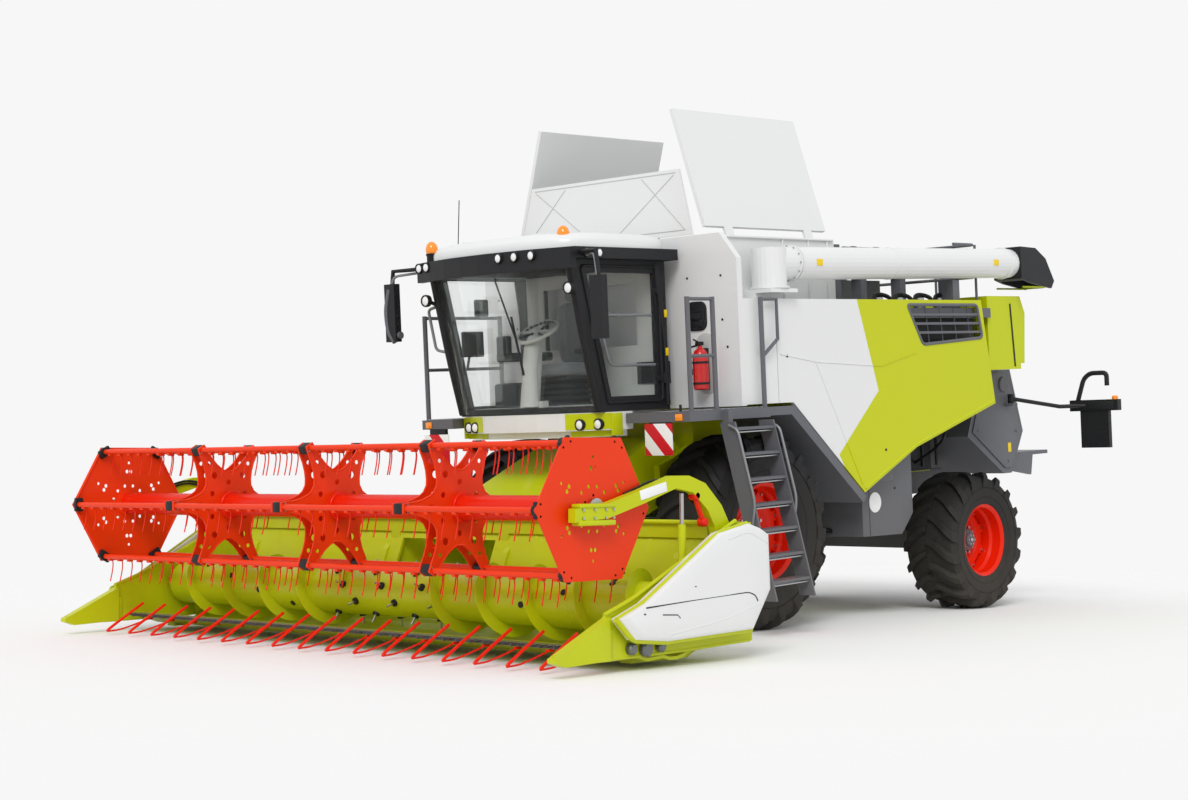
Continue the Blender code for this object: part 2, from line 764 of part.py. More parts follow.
def cab_door():
    frame = shrunk(CAB_DOORWAY, RUNNING)
    glass_edge = shrunk(frame, 0.05)
    door = slab(frame, "X", DOOR_X, CAB_HALF, holes=(glass_edge,))
    edge = frame[1][0]
    hinge = (CAB_HALF + HINGE_RADIUS + GAP, edge + HINGE_BESIDE, frame[1][1])
    pieces = [door]
    for z in (2.30, 3.10):
        foot = (hinge[0], hinge[1], z)
        head = (hinge[0], hinge[1], z + 0.09)
        pieces.append(bar(foot, head, HINGE_RADIUS, 12))
        over = (CAB_HALF + 0.008, hinge[0] + 0.006)
        pieces.append(box(over, (edge - 0.05, hinge[1]), (z + 0.02, z + 0.07)))
        down = (CAB_HALF - 0.01, CAB_HALF + 0.012)
        pieces.append(box(down, (edge - 0.049, edge - 0.01), (z + 0.021, z + 0.069)))
    place("cab_door", fuse(*pieces), "black", CHASSIS, hinge)
    pane = slab(shrunk(glass_edge, GAP), "X", DOOR_X + 0.012, DOOR_X + 0.022)
    place("door_glass", pane, "glass", CHASSIS, hinge)


def cab_glass():
    pane = slab(shrunk(CAB_DOORWAY, GAP), "X", -CAB_HALF + 0.02, -CAB_HALF + 0.03)
    place("side_glass", pane, "glass", CHASSIS)
    half = CAB_HALF - 0.005
    bulge = 0.16
    rows = []
    for z in (CAB_FLOOR + 0.012, 3.352):
        y = cab_front(z) - 0.0052 - GAP
        row = []
        for step in range(13):
            share = step / 6 - 1
            row.append((half * share, y - bulge * (1 - share * share), z))
        rows.append(row)
    bm = bmesh.new()
    grid = [[bm.verts.new(place_at) for place_at in row] for row in rows]
    for first, second in zip(range(12), range(1, 13)):
        bm.faces.new((grid[0][first], grid[0][second], grid[1][second], grid[1][first]))
    sheet = from_bmesh(bm)
    shell = sheet.modifiers.new("thickness", "SOLIDIFY")
    shell.thickness = 0.01
    shell.offset = 0
    bpy.context.view_layer.update()
    place("windscreen", as_mesh(sheet), "glass", CHASSIS)


def cab_roof():
    def plan(half, front, rear, bulge):
        points = [(half, rear), (half, front)]
        for step in range(1, 8):
            share = 1 - step / 4
            points.append((half * share, front - bulge * (1 - share * share)))
        points += [(-half, front), (-half, rear)]
        return points

    low = CAB_CEILING + GAP
    ring = slab(plan(1.0, 2.02, CAB_REAR + 0.08, 0.16), "Z", low, low + 0.10)
    outer = plan(1.0, 1.96, 1.96, 0.16)[1:-1]
    inner = [(x, y + 0.07) for x, y in outer]
    drop = slab(outer + inner[::-1], "Z", low - 0.09, low + 0.09)
    pieces = [ring, drop]
    arms = {"left": (1.20, 1.34, 3.25), "right": (1.36, 1.50, 3.35)}
    for name, side in SIDES.items():
        inner, outer, top = arms[name]
        y = 2.02
        route = [(side * 0.95, 2.10, low + 0.05), (side * (inner + 0.05), y, low + 0.05)]
        route.append((side * (inner + 0.07), y, top - 0.02))
        pieces.append(pipe(route, 0.022))
        span = sorted((side * inner, side * outer))
        pieces.append(box(span, (y - 0.045, y + 0.03), (top - 0.55, top)))
    place("cab_visor", fuse(*pieces), "black", CHASSIS)
    base = low + 0.10 + GAP
    shell = slab(plan(0.98, 2.05, CAB_REAR + 0.08, 0.15), "Z", base, base + 0.10)
    crown = slab(plan(0.84, 2.25, CAB_REAR - 0.02, 0.12), "Z", base + 0.05, base + 0.16)
    place("cab_roof", fuse(shell, crown), "white", CHASSIS)


def front_panel():
    def plan(half, front, rear, bulge):
        points = [(half, rear), (half, front)]
        for step in range(1, 8):
            share = 1 - step / 4
            points.append((half * share, front - bulge * (1 - share * share)))
        points += [(-half, front), (-half, rear)]
        return points

    high = CAB_FLOOR - GAP
    upper = slab(plan(0.96, 2.46, 2.72, 0.26), "Z", 1.90, high)
    lower = slab(plan(0.90, 2.50, 2.70, 0.24), "Z", 1.84, 1.91)
    support = box((-0.55, 0.55), (2.40, 3.715), (1.96, high))
    place("front_panel", fuse(upper, lower, support), "white", CHASSIS)


SEAT_Y = 2.86


def cab_inside():
    floor = CAB_FLOOR + WALL + GAP
    pieces = [
        box((-0.20, 0.20), (SEAT_Y - 0.18, SEAT_Y + 0.18), (floor, floor + 0.30)),
        box((-0.26, 0.26), (SEAT_Y - 0.27, SEAT_Y + 0.22), (floor + 0.28, floor + 0.42)),
        box((-0.25, 0.25), (SEAT_Y + 0.16, SEAT_Y + 0.28), (floor + 0.38, floor + 1.02)),
        box((-0.14, 0.14), (SEAT_Y + 0.18, SEAT_Y + 0.27), (floor + 1.0, floor + 1.16)),
        box((-0.46, -0.27), (SEAT_Y - 0.35, SEAT_Y + 0.20), (floor + 0.46, floor + 0.58)),
        box((-0.42, -0.24), (SEAT_Y + 0.0, SEAT_Y + 0.16), (floor + 0.30, floor + 0.50)),
    ]
    place("operator_seat", fuse(*pieces), "cloth", CHASSIS)
    column_foot = (0, 2.42, floor + 0.02)
    column_top = (0, 2.50, floor + 0.66)
    wheel = bpy_torus((0, 2.52, floor + 0.70), 0.20, 0.018, math.radians(30))
    pieces = [
        box((-0.14, 0.14), (2.40, 2.48), (floor, floor + 0.06)),
        bar(column_foot, column_top, 0.065, 12),
        bar(column_top, (0, 2.53, floor + 0.72), 0.03, 10),
        bar((-0.20, 2.52, floor + 0.70), (0.20, 2.52, floor + 0.70), 0.014, 8),
        wheel,
    ]
    place("steering_column", fuse(*pieces), "black", CHASSIS)


def bpy_torus(centre, radius, thick, tilt):
    """A ring in the XY plane, tilted about X."""
    bpy.ops.mesh.primitive_torus_add(
        major_segments=24,
        minor_segments=8,
        major_radius=radius,
        minor_radius=thick,
        location=centre,
        rotation=(tilt, 0, 0),
    )
    ring = bpy.context.object
    bpy.context.view_layer.update()
    return as_mesh(ring)


# ---------------------------------------------------------------- tank lids and unloading tube
def tank_lids():
    hinge_z = TANK_RIM + LID_RISE
    foot = (LID_RISE - GAP) * math.cos(LID_LEAN)
    tab = foot * math.tan(LID_LEAN)  # its inner corner then hangs right below the hinge
    for name, side in SIDES.items():
        across = sorted((0, -side * LID_THICK))
        pieces = [box(across, (TANK_FRONT + 0.03, TANK_REAR - 0.07), (0, LID_HEIGHT))]
        for y in (3.80, 5.00):
            pieces.append(box(sorted((0, -side * tab)), (y, y + 0.12), (-foot, 0.01)))
        at = (side * LID_HINGE_X, 0, hinge_z)
        lean = Matrix.Rotation(-side * LID_LEAN, 4, "Y")
        lid = moved(fuse(*pieces), Matrix.Translation(at) @ lean)
        origin = (side * LID_HINGE_X, TANK_FRONT + 1, hinge_z)
        place(f"tank_lid_{name}", lid, "white", CHASSIS, origin)
    thick = 0.025
    outline = [(-1.12, 0), (1.12, 0), (0.96, 0.62), (-0.96, 0.62)]
    pieces = [slab(outline, "Y", -thick, 0)]
    foot = (FRONT_LID_RISE - GAP) / math.cos(FRONT_LID_LEAN)
    for x in (-0.7, 0.6):
        pieces.append(box((x, x + 0.1), (-thick, 0), (-foot, 0.01)))
    at = (0, TANK_FRONT - 0.02, TANK_RIM + FRONT_LID_RISE)
    lean = Matrix.Rotation(-FRONT_LID_LEAN, 4, "X")
    lid = moved(fuse(*pieces), Matrix.Translation(at) @ lean)
    place("tank_lid_front", lid, "white", CHASSIS, at)


def unloading_tube():
    base = TURRET_BASE + GAP
    front = (TUBE_X, TURRET_Y, 3.36)
    rear = (TUBE_X, 8.10, 3.43)
    pieces = [
        bar((TUBE_X, TURRET_Y, base), (TUBE_X, TURRET_Y, 3.50), 0.165, 24),
        bar((TUBE_X, TURRET_Y - 0.05, 3.36), rear, TUBE_RADIUS, 24),
    ]
    place("unloading_tube", fuse(*pieces), "white", CHASSIS, front)
    start = rear[1] + 0.003 + GAP
    outline = [
        (start, 3.60),
        (start + 0.30, 3.59),
        (start + 0.50, 3.48),
        (start + 0.66, 3.24),
        (start + 0.60, 3.16),
        (start + 0.16, 3.22),
        (start, 3.26),
    ]
    hood = slab(outline, "X", TUBE_X - 0.17, TUBE_X + 0.17)
    hollow = slab(
        [
            (start + 0.04, 3.56),
            (start + 0.28, 3.55),
            (start + 0.46, 3.45),
            (start + 0.60, 3.24),
            (start + 0.62, 3.10),
            (start + 0.16, 3.10),
            (start + 0.04, 3.30),
        ],
        "X",
        TUBE_X - 0.14,
        TUBE_X + 0.14,
    )
    place("spout", cut(hood, hollow), "black", CHASSIS, front)


# ---------------------------------------------------------------- header
def feeder_house():
    y, z = FEEDER_PIVOT
    drum = arc((y, z), FEEDER_DRUM, 110, -100, 12)
    outline = [*drum, (1.62, 0.42), (1.62, 0.98)]
    body = slab(outline, "X", -FEEDER_HALF, FEEDER_HALF)
    throat = box((-0.62, 0.62), (1.50, 2.05), (0.50, 0.90))
    pieces = [body]
    for side in SIDES.values():
        pieces.append(bar((side * 0.69, y, z), (side * (TRUNNION_X - GAP), y, z), 0.06, 16))
        ear = sorted((side * 0.42, side * 0.46))
        outline_ear = [(1.95, 0.62), (2.35, 0.72), (2.20, 0.42), (2.04, 0.40)]
        pieces.append(slab(outline_ear, "X", *ear))
    place("feeder_house", cut(fuse(*pieces), throat), "lime", ROOT, (0, y, z))


def header_frame():
    floor = [(0.22, 0.150), (0.42, 0.085)]
    trough = arc((AUGER_Y, AUGER_Z), AUGER_FLIGHT + 0.055, 250, 350, 8)
    back = [(1.20, 0.62), (1.34, 0.98)]
    wide = HEADER_HALF + 0.01
    inner = ARM_X[0] - 0.05
    pieces = [
        slab(strip(floor + trough, -0.025), "X", -wide, wide),
        slab(strip(trough[-2:] + back, -0.025), "X", -inner, inner),
        box((-wide, wide), (KNIFE_REAR, 0.245), (0.125, 0.165)),
        box((-inner, inner), (1.30, 1.42), (0.94, 1.06)),
        box((-wide, wide), (1.20, 1.34), (0.14, 0.26)),
    ]
    for x in (-2.7, -1.8, -0.78, 0.78, 1.8, 2.7):
        rib = [(1.07, 0.36), (1.26, 0.14), (1.42, 0.98), (1.24, 0.78)]
        pieces.append(slab(rib, "X", x - 0.03, x + 0.03))
    wall = [
        (-0.05, 0.10),
        (1.62, 0.14),
        (1.62, 1.06),
        (1.44, 1.07),
        (0.25, 0.52),
        (-0.05, 0.42),
    ]
    nose = [(-0.03, 0.10), (-0.03, 0.41), (-0.60, 0.15), (-0.60, 0.12), (-0.50, 0.085)]
    for side in SIDES.values():
        pieces.append(slab(wall, "X", *sorted((side * HEADER_HALF, side * (HEADER_HALF + 0.03)))))
        pieces.append(slab(nose, "X", *sorted((side * 3.11, side * 3.19))))
        skid = [(0.42, 0.035), (1.05, 0.035), (1.30, 0.15), (1.25, 0.18), (0.95, 0.10)]
        skid += [(0.80, 0.062), (0.60, 0.066), (0.42, 0.07)]
        pieces.append(slab(skid, "X", *sorted((side * 2.86, side * 2.98))))
    frame = fuse(*pieces)
    throat = box((-0.60, 0.60), (0.95, 1.64), (0.20, 0.88))
    frame = cut(frame, throat)
    mast = []
    for side in SIDES.values():
        mast.append(box(sorted((side * 0.64, side * 0.76)), (1.30, 1.62 - GAP), (0.30, 0.98)))
    place("header_frame", fuse(frame, *mast), "lime", ROOT)


def side_covers():
    outline = [
        (-0.03, 0.40),
        (0.25, 0.20),
        (1.56, 0.22),
        (1.75, 0.54),
        (1.74, 0.99),
        (1.50, 1.07),
        (0.25, 0.50),
    ]
    for name, side in SIDES.items():
        low = HEADER_HALF + 0.06 + GAP
        cover = slab(outline, "X", *sorted((side * low, side * COVER_OUT)))
        place(f"header_cover_{name}", cover, "white", ROOT)


def knife_bar():
    pieces = [box((-3.08, 3.08), (0.12, KNIFE_REAR - GAP), (0.135, 0.165))]
    guards = 40
    for index in range(guards):
        x = -3.0 + 6.0 * index / (guards - 1)
        outline = [(x - 0.02, 0.14), (x + 0.02, 0.14), (x + 0.004, 0.04), (x - 0.004, 0.04)]
        pieces.append(slab(outline, "Z", 0.140, 0.160))
    place("knife_bar", fuse(*pieces), "black", ROOT)


def intake_auger():
    centre = (0, AUGER_Y, AUGER_Z)
    half = HEADER_HALF - 0.03
    tube = bar((-half, AUGER_Y, AUGER_Z), (half, AUGER_Y, AUGER_Z), AUGER_TUBE, 20)
    half = HEADER_HALF - GAP
    pieces = [tube, bar((-half, AUGER_Y, AUGER_Z), (half, AUGER_Y, AUGER_Z), 0.04, 12)]
    pitch = 0.55
    turns_per_side = 4
    steps = 8
    for side in SIDES.values():
        rows = []
        total = int(turns_per_side * steps)
        for index in range(total + 1):
            angle = side * 2 * math.pi * index / steps
            x = side * (0.75 + pitch * index / steps)
            ring = []
            for radius, shift in ((0.15, -0.012), (0.15, 0.012), (AUGER_FLIGHT, 0.008), (AUGER_FLIGHT, -0.008)):
                y = AUGER_Y + radius * math.cos(angle)
                z = AUGER_Z + radius * math.sin(angle)
                ring.append((x + shift, y, z))
            rows.append(ring)
        pieces.append(swept(rows))
    place("intake_auger", fuse(*pieces), "lime", ROOT, centre)


def swept(rows):
    """A closed solid through equal rings of points, with both ends capped."""
    bm = bmesh.new()
    rings = [[bm.verts.new(point) for point in row] for row in rows]
    size = len(rings[0])
    for first, second in zip(rings, rings[1:]):
        for index in range(size):
            after = (index + 1) % size
            bm.faces.new((first[index], first[after], second[after], second[index]))
    bm.faces.new(rings[0][::-1])
    bm.faces.new(rings[-1])
    bmesh.ops.triangulate(bm, faces=bm.faces)
    return from_bmesh(bm)


def reel():
    corners = []
    for index in range(6):
        angle = math.radians(60 * index)
        corners.append((REEL_RADIUS * math.cos(angle), REEL_Z + REEL_RADIUS * math.sin(angle)))
    wide = [(y * 1.09, REEL_Z + (z - REEL_Z) * 1.09) for y, z in corners]
    end = REEL_HALF - 0.006
    pieces = [bar((-end, 0, REEL_Z), (end, 0, REEL_Z), 0.10, 16)]
    for side in SIDES.values():
        pieces.append(slab(wide, "X", *sorted((side * (REEL_HALF - 0.012), side * REEL_HALF))))
        pieces.append(bar((side * 2.98, 0, REEL_Z), (side * (3.035 - GAP), 0, REEL_Z), 0.05, 12))
    for x in (-1.5, 0, 1.5):
        star = []
        for index in range(12):
            angle = math.radians(30 * index)
            radius = REEL_RADIUS - 0.01 if index % 2 == 0 else 0.26
            star.append((radius * math.cos(angle), REEL_Z + radius * math.sin(angle)))
        pieces.append(slab(star, "X", x - 0.02, x + 0.02))
    for y, z in corners:
        ends = ((-REEL_HALF + 0.004, y, z), (REEL_HALF - 0.004, y, z))
        pieces.append(bar(*ends, TINE_TUBE, 8))
    made = pieces[0]
    for piece in pieces[1:]:
        made = fuse(made, piece)
    place("reel", made, "red", ROOT, (0, 0, REEL_Z))


def reel_arms():
    y, z = REEL_PIVOT
    inner = [(-0.30, 1.10), (0.05, 1.125), (0.45, 1.23), (0.80, 1.335), (1.00, 1.30), (1.17, 1.16), (1.25, 1.03)]
    top = [(y + 0.05, z - 0.04), (y + 0.06, 1.06), (1.33, 1.20), (1.14, 1.37), (0.95, 1.43), (0.76, 1.43)]
    top += [(0.42, 1.33), (0.05, 1.235), (-0.30, 1.20)]
    outline = [*inner, (y - 0.09, z - 0.04), *top]
    for name, side in SIDES.items():
        arm = slab(outline, "X", *sorted((side * ARM_X[0], side * ARM_X[1])))
        pin = bar((side * 3.07, y, z), (side * (HEADER_HALF - GAP), y, z), 0.03, 12)
        place(f"reel_arm_{name}", fuse(arm, pin), "lime", ROOT, (side * ARM_X[0], y, z))


REEL_CYL_FOOT = (0.90, 0.70)
REEL_CYL_EYE = (0.90, 1.33)


def reel_cylinders():
    y0, z0 = REEL_CYL_FOOT
    y1, z1 = REEL_CYL_EYE
    run = Vector((y1 - y0, z1 - z0))
    way = run.normalized()
    for name, side in SIDES.items():
        x = side * 3.07
        foot = (x, y0, z0)
        mouth = (x, y0 + way.x * 0.36, z0 + way.y * 0.36)
        eye = (x, y1 - way.x * 0.035, z1 - way.y * 0.035)
        pin = bar((x, y0, z0), (side * (HEADER_HALF - GAP), y0, z0), 0.018, 8)
        barrel = bar(foot, mouth, 0.03, 16)
        bore_end = (x, mouth[1] + way.x * 0.01, mouth[2] + way.y * 0.01)
        bore = bar((x, y0 + way.x * 0.05, z0 + way.y * 0.05), bore_end, 0.0165, 16)
        barrel = cut(fuse(barrel, pin), bore)
        place(f"reel_cylinder_{name}", barrel, "lime", ROOT, foot)
        start = (x, y0 + way.x * 0.07, z0 + way.y * 0.07)
        place(f"reel_rod_{name}", bar(start, eye, 0.016, 16), "steel", ROOT, start)


LIFT_FOOT = (3.50, 0.80)
LIFT_EYE = (2.12, 0.46)


def lift_cylinders():
    """Both lift cylinders share one foot shaft, and both rods one pin in the feeder's ears."""
    y0, z0 = LIFT_FOOT
    y1, z1 = LIFT_EYE
    way = Vector((y1 - y0, z1 - z0)).normalized()

    def along(x, distance):
        return (x, y0 + way.x * distance, z0 + way.y * distance)

    reach = 0.50 - GAP
    barrels = [bar((-reach, y0, z0), (reach, y0, z0), 0.03, 12)]
    bores = []
    rods = [bar((-0.42 + GAP, y1, z1), (0.42 - GAP, y1, z1), 0.025, 12)]
    length = math.dist(LIFT_FOOT, LIFT_EYE)
    for side in SIDES.values():
        x = side * 0.34
        barrels.append(bar(along(x, 0), along(x, 0.78), 0.055, 16))
        bores.append(bar(along(x, 0.08), along(x, 0.80), 0.0305, 16))
        rods.append(bar(along(x, 0.10), along(x, length), 0.03, 16))
    place("lift_cylinders", cut(fuse(*barrels), *bores), "black", ROOT, (0, y0, z0))
    place("lift_rods", fuse(*rods), "steel", ROOT, along(0, 0.10))


def build():
    wheels()
    front_axle()
    rear_axle()
    knuckles()
    main_frame()
    threshing_body()
    grain_tank()
    engine_and_deck()
    straw_hood()
    straw_chopper()
    marker_arm()
    side_panels()
    for name, side in SIDES.items():
        fender_and_platform(name, side)
    ladder()
    cab_shell()
    cab_door()
    cab_glass()
    cab_roof()
    front_panel()
    cab_inside()
    tank_lids()
    unloading_tube()
    feeder_house()
    header_frame()
    side_covers()
    knife_bar()
    intake_auger()
    reel()
    reel_arms()
    reel_cylinders()
    lift_cylinders()


build()
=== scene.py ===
"""Looks of the combine harvester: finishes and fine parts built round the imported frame.

Every length is in metres. Pieces are drawn in one of two datums. The ground datum has
Z up and Y rearward from the reel's axis. The chassis datum is the same, nosed down a
little about the front axle, as the chassis stands. Both end in the frame's own axes.
"""

from __future__ import annotations

import json
import logging
import math
from dataclasses import dataclass
from enum import Enum
from functools import lru_cache
from typing import Iterable, Sequence

import bmesh
import bpy
from mathutils import Matrix, Vector
from mathutils.bvhtree import BVHTree

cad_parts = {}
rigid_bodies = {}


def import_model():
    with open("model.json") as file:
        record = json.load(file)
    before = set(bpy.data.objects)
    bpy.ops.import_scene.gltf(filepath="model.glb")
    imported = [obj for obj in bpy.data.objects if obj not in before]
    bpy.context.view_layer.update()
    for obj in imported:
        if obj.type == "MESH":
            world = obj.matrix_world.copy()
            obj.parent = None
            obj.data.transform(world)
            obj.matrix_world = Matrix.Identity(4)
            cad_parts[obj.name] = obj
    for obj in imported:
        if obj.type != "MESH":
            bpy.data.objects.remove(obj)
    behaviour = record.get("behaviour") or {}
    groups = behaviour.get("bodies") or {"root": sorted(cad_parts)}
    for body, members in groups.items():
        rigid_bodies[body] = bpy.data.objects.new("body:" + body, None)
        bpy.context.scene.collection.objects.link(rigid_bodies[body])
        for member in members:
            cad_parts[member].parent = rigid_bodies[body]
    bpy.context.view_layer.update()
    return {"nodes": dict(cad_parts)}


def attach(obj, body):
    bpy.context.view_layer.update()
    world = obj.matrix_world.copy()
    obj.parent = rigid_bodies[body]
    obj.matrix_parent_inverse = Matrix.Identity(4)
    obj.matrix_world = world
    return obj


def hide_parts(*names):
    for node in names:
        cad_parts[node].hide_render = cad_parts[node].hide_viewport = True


LOG = logging.getLogger("combine")

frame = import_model()

MID_LENGTH = 4.387  # from the reel's axis to the middle of the machine
NOSE_DOWN = math.radians(2.94)
FRONT_AXLE = (3.779, 0.90)  # y and z in the ground datum
REAR_AXLE = (7.460, 0.713)
TRACK = 1.282  # half the distance between a pair of wheels
SIDES = {"left": 1, "right": -1}
DUST_COLOUR = "#8A7F6C"
DUST_HEIGHTS = (1.6, 0.2)  # where the dust on the machine starts and where it is thickest
GRAIN_DEPTH = 0.002  # how deep a finish's texture is at full relief

Point = Sequence[float]
Flat = Sequence[Sequence[float]]
Span = Sequence[float]
Colour = tuple[float, float, float, float]
Node = bpy.types.Node
NodeTree = bpy.types.NodeTree
Socket = bpy.types.NodeSocket


class Datum(Enum):
    """The two sets of axes in which pieces are drawn."""

    GROUND = "ground"
    CHASSIS = "chassis"

    def matrix(self) -> Matrix:
        """The matrix from this datum to the frame's axes.

        Returns:
            The matrix.
        """
        shift = Matrix.Translation((0, -MID_LENGTH, 0))
        if self is Datum.GROUND:
            return shift
        about = Matrix.Translation((0, *FRONT_AXLE))
        turn = Matrix.Rotation(NOSE_DOWN, 4, "X")
        return shift @ about @ turn @ about.inverted()


# ------------------------------------------------------------------ finishes
def linear(hex_colour: str) -> Colour:
    """Turn an sRGB hex colour into linear red, green, blue and alpha.

    Args:
        hex_colour: six hexadecimal digits, with or without a leading #.

    Returns:
        The linear colour with alpha 1.
    """
    digits = hex_colour.lstrip("#")
    values = [int(digits[i : i + 2], 16) / 255 for i in (0, 2, 4)]
    red, green, blue = (v / 12.92 if v <= 0.04045 else ((v + 0.055) / 1.055) ** 2.4 for v in values)
    return red, green, blue, 1.0


def add_node(tree: NodeTree, kind: str, settings: dict | None = None) -> Node:
    """Add one shader node.

    Args:
        tree: the node tree to add to.
        kind: the node's type name, without its ShaderNode prefix.
        settings: numbers, colours or output sockets by the input's name or number, and
            the node's own properties by name.

    Returns:
        The new node.
    """
    node = tree.nodes.new(f"ShaderNode{kind}")
    for key, value in (settings or {}).items():
        if not (isinstance(key, int) or key in node.inputs):
            setattr(node, key, value)
        elif isinstance(value, Socket):
            tree.links.new(value, node.inputs[key])
        else:
            node.inputs[key].default_value = value
    return node


def maths(tree: NodeTree, operation: str, first: Socket, second: Socket | float) -> Socket:
    """The socket of one sum on two values.

    Args:
        tree: the node tree to add to.
        operation: the Math node's operation.
        first: the first value.
        second: the second value.

    Returns:
        The result's socket.
    """
    return add_node(tree, "Math", {"operation": operation, 0: first, 1: second}).outputs[0]


def blend(tree: NodeTree, share: Socket, one: Socket | Colour, two: Socket | Colour) -> Socket:
    """The socket of a mix of two colours.

    Args:
        tree: the node tree to add to.
        share: how much of the second colour shows.
        one: the first colour.
        two: the second colour.

    Returns:
        The mixed colour's socket.
    """
    return add_node(tree, "Mix", {"data_type": "RGBA", 0: share, 6: one, 7: two}).outputs[2]


def remap(tree: NodeTree, value: Socket, source: Span, target: Span) -> Socket:
    """The socket of a value moved from one range to another, and held inside it.

    Args:
        tree: the node tree to add to.
        value: the value to move.
        source: the range that it comes in.
        target: the range that it leaves in.

    Returns:
        The moved value's socket.
    """
    names = ("From Min", "From Max", "To Min", "To Max")
    return add_node(
        tree, "MapRange", {"Value": value, **dict(zip(names, (*source, *target)))}
    ).outputs[0]


def scale_for(size_mm: float) -> float:
    """The noise scale whose features are about size_mm across."""
    return 1000.0 / size_mm


@dataclass(frozen=True)
class Finish:
    """A surface finish: colour that drifts a little, uneven gloss and a fine texture.

    Args:
        name: what the material is called.
        colour: its sRGB hex colour.
        slot: the record's material slot that it belongs to; not used.
        roughness: its middle roughness.
        metallic: 1 for bare metal.
        coat: weight of a clear coat.
        drift: how far the colour darkens in soft patches.
        patch_mm: size of those patches.
        grain_mm: size of the fine surface texture.
        relief: strength of the fine texture.
        dirt: weight of dust that gathers low on the machine.
        sheen: specular level of the base under any coat.
    """

    name: str
    colour: str
    slot: str
    roughness: float = 0.4
    metallic: float = 0.0
    coat: float = 0.0
    drift: float = 0.08
    patch_mm: float = 500.0
    grain_mm: float = 6.0
    relief: float = 0.03
    dirt: float = 0.0
    sheen: float = 0.3

    def tint(self, tree: NodeTree, coords: Socket, patches: Socket) -> Socket:
        """The base colour, darkened in soft patches and dusty near the ground.

        Args:
            tree: the material's node tree.
            coords: the point's place on the machine.
            patches: the soft noise that the drift follows.

        Returns:
            The colour's socket.
        """
        base = linear(self.colour)
        dark = (*(c * (1 - self.drift) for c in base[:3]), 1.0)
        colour = blend(tree, patches, base, dark)
        if not self.dirt:
            return colour
        height = add_node(tree, "SeparateXYZ", {0: coords}).outputs[2]
        low = remap(tree, height, DUST_HEIGHTS, (0.0, self.dirt))
        return blend(tree, maths(tree, "MULTIPLY", low, patches), colour, linear(DUST_COLOUR))

    def surface(self, tree: NodeTree, shader: Node) -> None:
        """Set what a special finish adds to the plain shader."""

    def make(self) -> bpy.types.Material:
        """Build the material, or find it if it is already there.

        Returns:
            The material.
        """
        found = bpy.data.materials.get(self.name)
        if found:
            return found
        made = bpy.data.materials.new(self.name)
        made.use_nodes = True
        tree = made.node_tree
        shader = tree.nodes["Principled BSDF"]
        coords = add_node(tree, "TexCoord").outputs["Object"]
        patches = add_node(
            tree,
            "TexNoise",
            {"Scale": scale_for(self.patch_mm), "Detail": 5.0, "Roughness": 0.6, "Vector": coords},
        ).outputs["Fac"]
        gloss = (self.roughness * 0.82, min(self.roughness * 1.25, 1.0))
        grain = add_node(
            tree, "TexNoise", {"Scale": scale_for(self.grain_mm), "Detail": 3.0, "Vector": coords}
        ).outputs["Fac"]
        bump = {"Strength": self.relief, "Distance": GRAIN_DEPTH, "Height": grain}
        for name, socket in (
            ("Base Color", self.tint(tree, coords, patches)),
            ("Roughness", remap(tree, patches, (0.0, 1.0), gloss)),
            ("Normal", add_node(tree, "Bump", bump).outputs[0]),
        ):
            tree.links.new(socket, shader.inputs[name])
        for name, value in (
            ("Metallic", self.metallic),
            ("Coat Weight", self.coat),
            ("Coat Roughness", 0.08),
            ("Specular IOR Level", 0.5 if self.metallic else self.sheen),
        ):
            shader.inputs[name].default_value = value
        self.surface(tree, shader)
        return made


@dataclass(frozen=True)
class TwoTone(Finish):
    """Sprayed panel paint in two colours that meet on a bent line across the side.

    Args:
        second: the colour behind the line.
        line: chassis (y, z) points of the line, from its lowest up.
    """

    second: str = "#B8C200"
    line: tuple = ()

    def tint(self, tree: NodeTree, coords: Socket, patches: Socket) -> Socket:
        """White ahead of the line and the second colour behind it.

        Args:
            tree: the material's node tree.
            coords: the point's place on the machine.
            patches: the soft noise that the drift follows.

        Returns:
            The colour's socket.
        """
        matrix = Datum.CHASSIS.matrix()
        points = [matrix @ Vector((0, y, z)) for y, z in self.line]
        low, high = points[0].z, points[-1].z
        near = min(p.y for p in points) - 0.2
        span = max(p.y for p in points) + 0.2 - near
        split = add_node(tree, "SeparateXYZ", {0: coords})
        share = remap(tree, split.outputs[2], (low, high), (0.0, 1.0))
        ramp = add_node(tree, "ValToRGB", {0: share})
        stops = ramp.color_ramp.elements
        while len(stops) < len(points):
            stops.new(0.5)
        for stop, point in zip(stops, points):
            stop.position = (point.z - low) / (high - low)
            stop.color = (*[(point.y - near) / span] * 3, 1)
        border = remap(tree, ramp.outputs[0], (0.0, 1.0), (near, near + span))
        behind = maths(tree, "GREATER_THAN", split.outputs[1], border)
        return blend(tree, behind, super().tint(tree, coords, patches), linear(self.second))


@dataclass(frozen=True)
class Brushed(Finish):
    """Bare or plated steel: full metal, with a grain finer than paint's."""

    metallic: float = 1.0
    roughness: float = 0.3
    grain_mm: float = 3.0


@dataclass(frozen=True)
class Glass(Finish):
    """Clear tinted glass, thin enough to look straight through.

    Args:
        clearness: how much light the glass lets through.
        opacity: how much of its own face still shows.
    """

    clearness: float = 0.9
    opacity: float = 0.14

    def surface(self, tree: NodeTree, shader: Node) -> None:
        """Let most light through and keep a glossy face."""
        shader.inputs["Transmission Weight"].default_value = self.clearness
        shader.inputs["IOR"].default_value = 1.1
        shader.inputs["Alpha"].default_value = self.opacity


